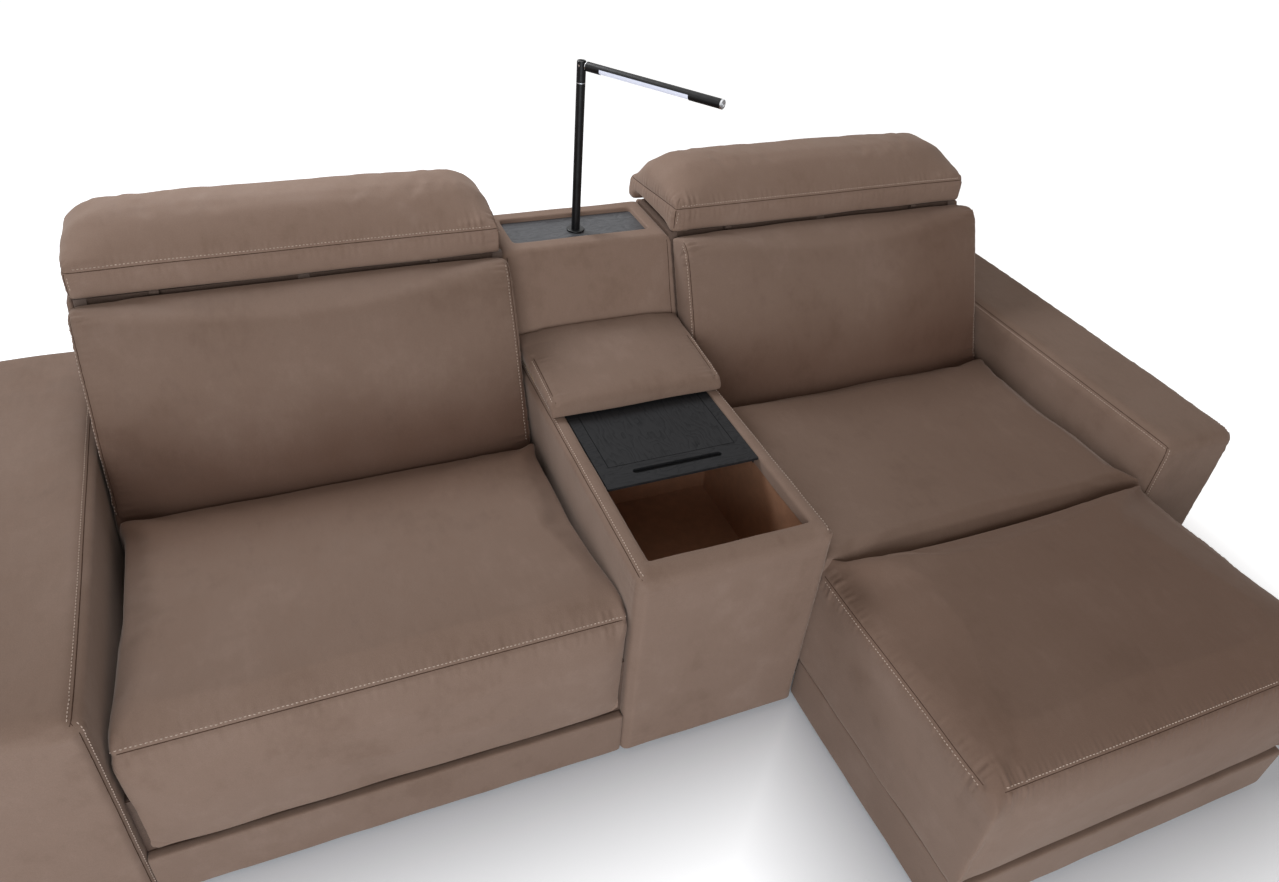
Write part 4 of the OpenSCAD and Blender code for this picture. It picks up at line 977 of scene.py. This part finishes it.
class SOFA_OT_stage(bpy.types.Operator):
    """Makes the camera at the photograph's view, the floor, the sky and the lamps"""
    bl_idname = "sofa.stage"
    bl_label = "Stage"

    def execute(self, context):
        stage = context.scene.sofa_stage
        data = bpy.data.cameras.new("photo_view")
        data.lens, data.sensor_width, data.clip_start = LENS, 36, 0.05
        camera = new_piece("photo_view", data)
        yaw, pitch, roll = (math.radians(a) for a in (CAMERA_YAW, CAMERA_PITCH, CAMERA_ROLL))
        ahead = Vector((-math.sin(yaw) * math.cos(pitch), math.cos(yaw) * math.cos(pitch), -math.sin(pitch)))
        right = ahead.cross(Vector((0, 0, 1))).normalized()
        up = right.cross(ahead)
        across = right * math.cos(roll) + up * math.sin(roll)
        above = up * math.cos(roll) - right * math.sin(roll)
        turn = Matrix((across, above, -ahead)).transposed().to_4x4()
        camera.matrix_world = Matrix.Translation(CAMERA_PLACE) @ turn
        context.scene.camera = camera
        context.scene.view_settings.view_transform = "Standard"

        world = bpy.data.worlds.new("sky")
        context.scene.world = world
        world.use_nodes = True
        tree = world.node_tree
        back = feed(tree.nodes["Background"], Color=(1.0, 0.86, 0.75, 1), Strength=stage.sky)
        path = node(tree, "LightPath").outputs
        seen = sums(tree, "MAXIMUM", path["Is Camera Ray"], path["Is Glossy Ray"])
        seen = sums(tree, "MAXIMUM", seen, path["Is Transmission Ray"])
        plain = node(tree, "Background", Color=(1, 1, 1, 1))
        mix = node(tree, "MixShader", i0=seen, i1=back.outputs[0], i2=plain.outputs[0])
        feed(tree.nodes["World Output"], Surface=mix.outputs[0])

        bpy.ops.object.select_all(action="DESELECT")
        bpy.ops.mesh.primitive_plane_add(size=60)
        floor = context.object
        floor.name = "floor"
        material, tree, shader, place = finish_of("floor", Roughness=0.9, Specular_IOR_Level=0.1,
                                                  Emission_Color=(1, 1, 1, 1))
        seen = node(tree, "LightPath").outputs["Is Camera Ray"]
        # Painted shadow: for the camera the floor glows less near the sofa's footprint and more away from it, a
        # painted contact shadow round the sofa.
        gaps = []
        for x0, x1, front in ((-ARM, ARM, FRONT), (SEAT_IN, ARM, CHAISE_FRONT)):
            middle, half = ((x0 + x1) / 2, (front + BACK) / 2, 0), ((x1 - x0) / 2, (BACK - front) / 2, 1)
            from_middle = vector(tree, "ABSOLUTE", i0=vector(tree, "SUBTRACT", i0=place, i1=middle))
            outside = vector(tree, "SUBTRACT", i0=from_middle, i1=half)
            outside = vector(tree, "MAXIMUM", i0=outside, i1=(0, 0, 0))
            gaps.append(vector(tree, "LENGTH", "Value", i0=outside))
        painted_shadow_fade = spread(tree, sums(tree, "MINIMUM", *gaps), 0.0, 0.42, 0.04, 0.85)
        feed(shader, Base_Color=shaded(tree, cloud(tree, place, 3.0), stage.floor, 0.99),
             Emission_Strength=sums(tree, "MULTIPLY", seen, painted_shadow_fade))
        floor.data.materials.append(material)

        for name, watts, size, place, aim in (
                ("key", stage.key, 1.1, (-1.05, 2.25, 2.8), (0.0, 0.0, 0.45)),
                ("fill", stage.fill, 3.0, (-1.9, -4.0, 1.6), (0.0, 0.0, 0.5))):
            light = bpy.data.lights.new(name, "AREA")
            light.energy, light.size, light.color = watts, size, (0.98, 1.0, 1.03)
            lamp = new_piece(name, light)
            lamp.location = place
            lamp.rotation_mode = "QUATERNION"
            lamp.rotation_quaternion = (Vector(aim) - Vector(place)).to_track_quat("-Z", "Y")
        return {"FINISHED"}


class SOFA_OT_cushions(bpy.types.Operator):
    """Fills the seats, the chaise, the backs, the headrests and the bolster, and sews them"""
    bl_idname = "sofa.cushions"
    bl_label = "Cushions"

    def execute(self, context):
        thread_finish()
        seam_shade_finish()
        pads = [*seat_pads(), *back_pads(), bolster_pad()]
        for pad in pads:
            prepare(pad)
        simulate(pads)
        for pad in pads:
            name, tint, *painted_shade = HIDES[pad.name]
            close_up(pad, bpy.data.materials.get(name) or nubuck(name, tint, painted_shade))
            sew(pad.obj, pad.seams, pad.body)
        return {"FINISHED"}


class SOFA_OT_console(bpy.types.Operator):
    """Covers the console's panels and tower in hide, with their seams"""
    bl_idname = "sofa.console"
    bl_label = "Console covers"

    def execute(self, context):
        hide = bpy.data.materials["brushed_nubuck"]
        front_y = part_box("console_front_panel")[0].y
        seams = []
        for side in (-1, 1):
            outer = side * (SIDE - 0.004)
            seams.append(Seam([(outer, front_y + 0.012, RIM - 0.006), (outer, 0.50, RIM - 0.006)],
                              [(-side, 0, -0.75)], rows=(side,), pucker=0.3))
            seams.append(Seam([(outer, front_y + 0.003, RIM - 0.03), (outer, front_y + 0.003, 0.02)],
                              [(-side, 0.6, 0)], rows=(), pucker=0.2, dip=0.6, fold=False))
        cover = firm_cover("console_cover", ["console_front_panel", "console_left_panel", "console_right_panel"],
                           hide, seams, 0.0, 0.004, 24, 2)

        # The lid slides between the walls, so the cover's inner faces stay flush with them.
        points = places(cover.data)
        x, y, _ = points.T
        wall, end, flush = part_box("console_right_panel")[0].x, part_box("console_front_panel")[1].y, 0.006
        across = np.abs(x)
        in_way = (across < wall) & (y > end)
        x[:] = np.where(in_way & (across > wall - flush), np.sign(x) * wall, x)
        y[:] = np.where(in_way & (y < end + flush), end, y)
        move(cover.data, points)
        sew(cover, seams)

        firm_cover("console_rear_cover", ["console_back_panel"], hide, (), 0.001, 0.005, 25, 2)
        inner = SIDE - 0.005
        ends = [side_seam(side, [(inner, 0.500, 0.60), (inner, 0.585, 0.785)], [(-1, 0.9, -0.2)], rows=(),
                          pucker=0.3, dip=0.5) for side in (-1, 1)]
        # Painted light: the tower's hide is a copy of the nubuck at 1.13 times its brightness, standing in for more
        # light on it.
        cover = firm_cover("tower_cover", ["console_tower"], nubuck("tower_nubuck", 1.13), ends, 0.0020, 0.005, 26, 2)
        points = places(cover.data)
        points[:, 0] *= 1 + 0.0135 * rise(np.abs(points[:, 0]), SIDE - 0.02, SIDE - 0.004)
        move(cover.data, points)
        sew(cover, ends)
        return {"FINISHED"}


class SOFA_OT_shell(bpy.types.Operator):
    """Covers the arms, the outer back and the plinths"""
    bl_idname = "sofa.shell"
    bl_label = "Arms, backs and plinths"

    def execute(self, context):
        hide = bpy.data.materials["brushed_nubuck"]
        for side, name in ((-1, "left"), (1, "right")):
            low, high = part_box("right_arm_cover")
            start, top = low.y + 0.012, high.z - 0.010
            seams = []
            for x, way in ((low.x + 0.012, 0.7), (high.x - 0.012, -0.7)):
                seams.append(side_seam(side, [(x, start, top), (x, high.y - 0.02, top)], [(way, 0, -0.7)]))
                seams.append(side_seam(side, [(x, start, high.z - 0.014), (x, start, 0.03)], [(way, 0.7, 0)]))
            sew(firm_cover(name + "_arm", [name + "_arm_cover"], hide, seams, 0.006, 0.011, 31 + side), seams)
            low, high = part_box("right_back_shell")
            rear, top, middle = high.y - 0.01, high.z - 0.016, (low.x + high.x) / 2
            seams = [side_seam(side, [(low.x + 0.01, rear, top), (high.x - 0.01, rear, top)], [(0, -0.9, -0.4)]),
                     side_seam(side, [(middle, high.y, high.z - 0.05), (middle, high.y, 0.06)], [(0, -1, 0)],
                               rows=(1, -1))]
            sew(firm_cover(name + "_outer_back", [name + "_back_shell"], hide, seams, 0.003, 0.009, 34 + side), seams)
        # Painted shade: the plinths' hide is a copy of the nubuck at 0.94 of its brightness.
        low_hide = nubuck("nubuck_plinth", 0.94)
        firm_cover("left_plinth_cover", ["left_plinth"], low_hide, (), 0.001, 0.005, 38)
        cover = firm_cover("right_plinth_cover", ["right_plinth"], low_hide, (), 0.001, 0.005, 39)
        points = places(cover.data)
        x, y, _ = points.T
        edge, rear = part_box("right_plinth")[0].x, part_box("right_plinth")[1].y
        y += 0.020 * ((y > rear - 0.006) & (x < edge + 0.03))
        x -= 0.024 * (x < edge + 0.003)
        move(cover.data, points)
        return {"FINISHED"}


class SOFA_OT_woodwork(bpy.types.Operator):
    """Finishes the sliding lid, its inset and the tray in black oak"""
    bl_idname = "sofa.woodwork"
    bl_label = "Lid and tray"

    def execute(self, context):
        dress(oak("oak_lid_frame", "X", (0.31, 0.22, 0.0), 0.46, 0.43, 0.14), "lid_board")
        dress(oak("oak_lid_inset", "Y", (-0.20, 0.02, 0.0), 0.46, 0.43, 0.14), "lid_inset")
        dress(oak("oak_tray", "X", (0.06, -0.715, 0.0), 0.32, 1.75, 0.24), "tray_board")
        return {"FINISHED"}


class SOFA_OT_lamp(bpy.types.Operator):
    """Finishes the reading lamp in satin black, chrome and opal"""
    bl_idname = "sofa.lamp"
    bl_label = "Reading lamp"

    def execute(self, context):
        lamp = chosen("lamp")
        black = coated("lamp_black", tuple(lamp.black), 0.34, Specular_IOR_Level=0.35)
        chrome = coated("lamp_chrome", tuple(lamp.chrome), 0.16, 1.0, 0.00001)
        dress(black, "lamp_pole", "lamp_collar", "lamp_fork")
        dress(chrome, "lamp_trim_ring", "lamp_fold_pin", "lamp_knuckle", "lamp_switch")
        low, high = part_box("lamp_end_cap")
        tip = (low + high) / 2
        low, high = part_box("lamp_pole")
        foot = Vector(((low.x + high.x) / 2, (low.y + high.y) / 2, tip.z))
        along = (tip - foot).normalized()
        turn = Matrix.Translation(foot) @ Matrix.Rotation(math.radians(-38), 4, along) @ Matrix.Translation(-foot)
        board = coated("light_board", (0.78, 0.78, 0.76), 0.5)
        for name, part, finish, slot in (("lamp_arm_sleeve", "lamp_arm_tube", black, "black_metal"),
                                         ("light_strip", "lamp_diffuser", light_cover(), "diffuser"),
                                         ("light_carrier", "lamp_light_board", board, "light_board")):
            obj = solid_copy(name, part)
            obj.data.transform(turn)
            obj.data.update()
            only(obj)
            bpy.ops.object.shade_smooth_by_angle(angle=math.radians(30))
            coat(obj, finish)
            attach(obj, "lamp_arm")
            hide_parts(part)
        cap, tree, shader, place = finish_of("lamp_cap", Specular_IOR_Level=0.35)
        reach = vector(tree, "DOT_PRODUCT", "Value", i0=place, i1=tuple(along))
        rim = sums(tree, "GREATER_THAN", reach, tip.dot(along) + 0.0042)
        marks = cloud(tree, place, 60.0, 3.0)
        bright = shaded(tree, marks, lamp.chrome, 0.85)
        feed(shader, Base_Color=blend_colours(tree, rim, (*lamp.black, 1), bright), Metallic=rim,
             Roughness=spread(tree, marks, 0.3, 0.7, 0.24, 0.34))
        dress(cap, "lamp_end_cap")
        return {"FINISHED"}


class SOFA_OT_inside(bpy.types.Operator):
    """Finishes the bin, the lid's rails, and the frames, straps and fittings inside"""
    bl_idname = "sofa.inside"
    bl_label = "Inside parts"

    def execute(self, context):
        dress(coated("bin_lining", (0.310, 0.163, 0.096), 0.66, peel=0.00012), "console_bin")
        dress(timber(), *[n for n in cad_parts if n.endswith(("_frame", "_board"))
                          and n not in ("lid_board", "tray_board", "lamp_light_board")])
        dress(lined(timber(), "lined_back_frame", ((0, 0, 1), 0.74), ((-1, 0, 0), -0.236), ((1, 0, 0), 1.145)),
              "left_back_frame", "right_back_frame")
        dress(lined(timber(), "lined_base_frame", ((-1, 0, 0), -0.276), ((0, -1, 0), 0.20), ((0, 1, 0), 0.795),
                    ((0, 0, -1), -0.05)),
              "left_base_frame", "right_base_frame")
        dress(lined(woven("webbing", (0.62, 0.58, 0.48), 180.0), "webbing", ((-1, 0, 0), -0.276),
                    ((0, -1, 0), 0.20)), "left_webbing", "right_webbing")
        dress(woven("underlining", (0.012, 0.012, 0.013), 420.0), "bottom_lining")
        dress(coated("black_plastic", (0.012, 0.012, 0.013), 0.5), "glides", "lamp_driver", "power_inlet")
        dress(coated("rail_black", (0.009, 0.009, 0.010), 0.42), "lid_rails", "lid_front_rest")
        dress(coated("stop_rubber", (0.010, 0.010, 0.010), 0.8), "lid_stops")
        dress(brushed_steel("zinc_steel", (0.50, 0.51, 0.53)), "lamp_collar_nut")
        dress(coated("hinge_bronze", (0.072, 0.046, 0.034), 0.70, 0.1),
              *[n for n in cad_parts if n.endswith(("headrest_hinges", "headrest_arms"))])
        return {"FINISHED"}


class SOFA_PT_panel(bpy.types.Panel):
    """Lists the sizes, colours and pieces of the sofa"""
    bl_idname = "SOFA_PT_panel"
    bl_label = "Sofa with a storage console"
    bl_space_type = "VIEW_3D"
    bl_region_type = "UI"
    bl_category = "Sofa"

    def draw(self, context):
        for name, group in GROUPS.items():
            box = self.layout.box()
            for key in group.__annotations__:
                box.prop(getattr(context.scene, name), key)
        for operator in OPERATORS:
            self.layout.operator(operator.bl_idname)


GROUPS = {"sofa_nubuck": SofaNubuck, "sofa_fill": SofaFill, "sofa_seam": SofaSeam, "sofa_wood": SofaWood,
          "sofa_lamp": SofaLamp, "sofa_stage": SofaStage}
OPERATORS = (SOFA_OT_stage, SOFA_OT_cushions, SOFA_OT_console, SOFA_OT_shell, SOFA_OT_woodwork, SOFA_OT_lamp,
             SOFA_OT_inside)


def register():
    for cls in (*GROUPS.values(), *OPERATORS, SOFA_PT_panel):
        bpy.utils.register_class(cls)
    for name, group in GROUPS.items():
        setattr(bpy.types.Scene, name, PointerProperty(type=group))


def unregister():
    for name in GROUPS:
        delattr(bpy.types.Scene, name)
    for cls in reversed((*GROUPS.values(), *OPERATORS, SOFA_PT_panel)):
        bpy.utils.unregister_class(cls)


def main():
    register()
    bpy.ops.sofa.stage()
    bpy.ops.sofa.cushions()
    bpy.ops.sofa.console()
    bpy.ops.sofa.shell()
    bpy.ops.sofa.woodwork()
    bpy.ops.sofa.lamp()
    bpy.ops.sofa.inside()


if __name__ == "__main__":
    main()
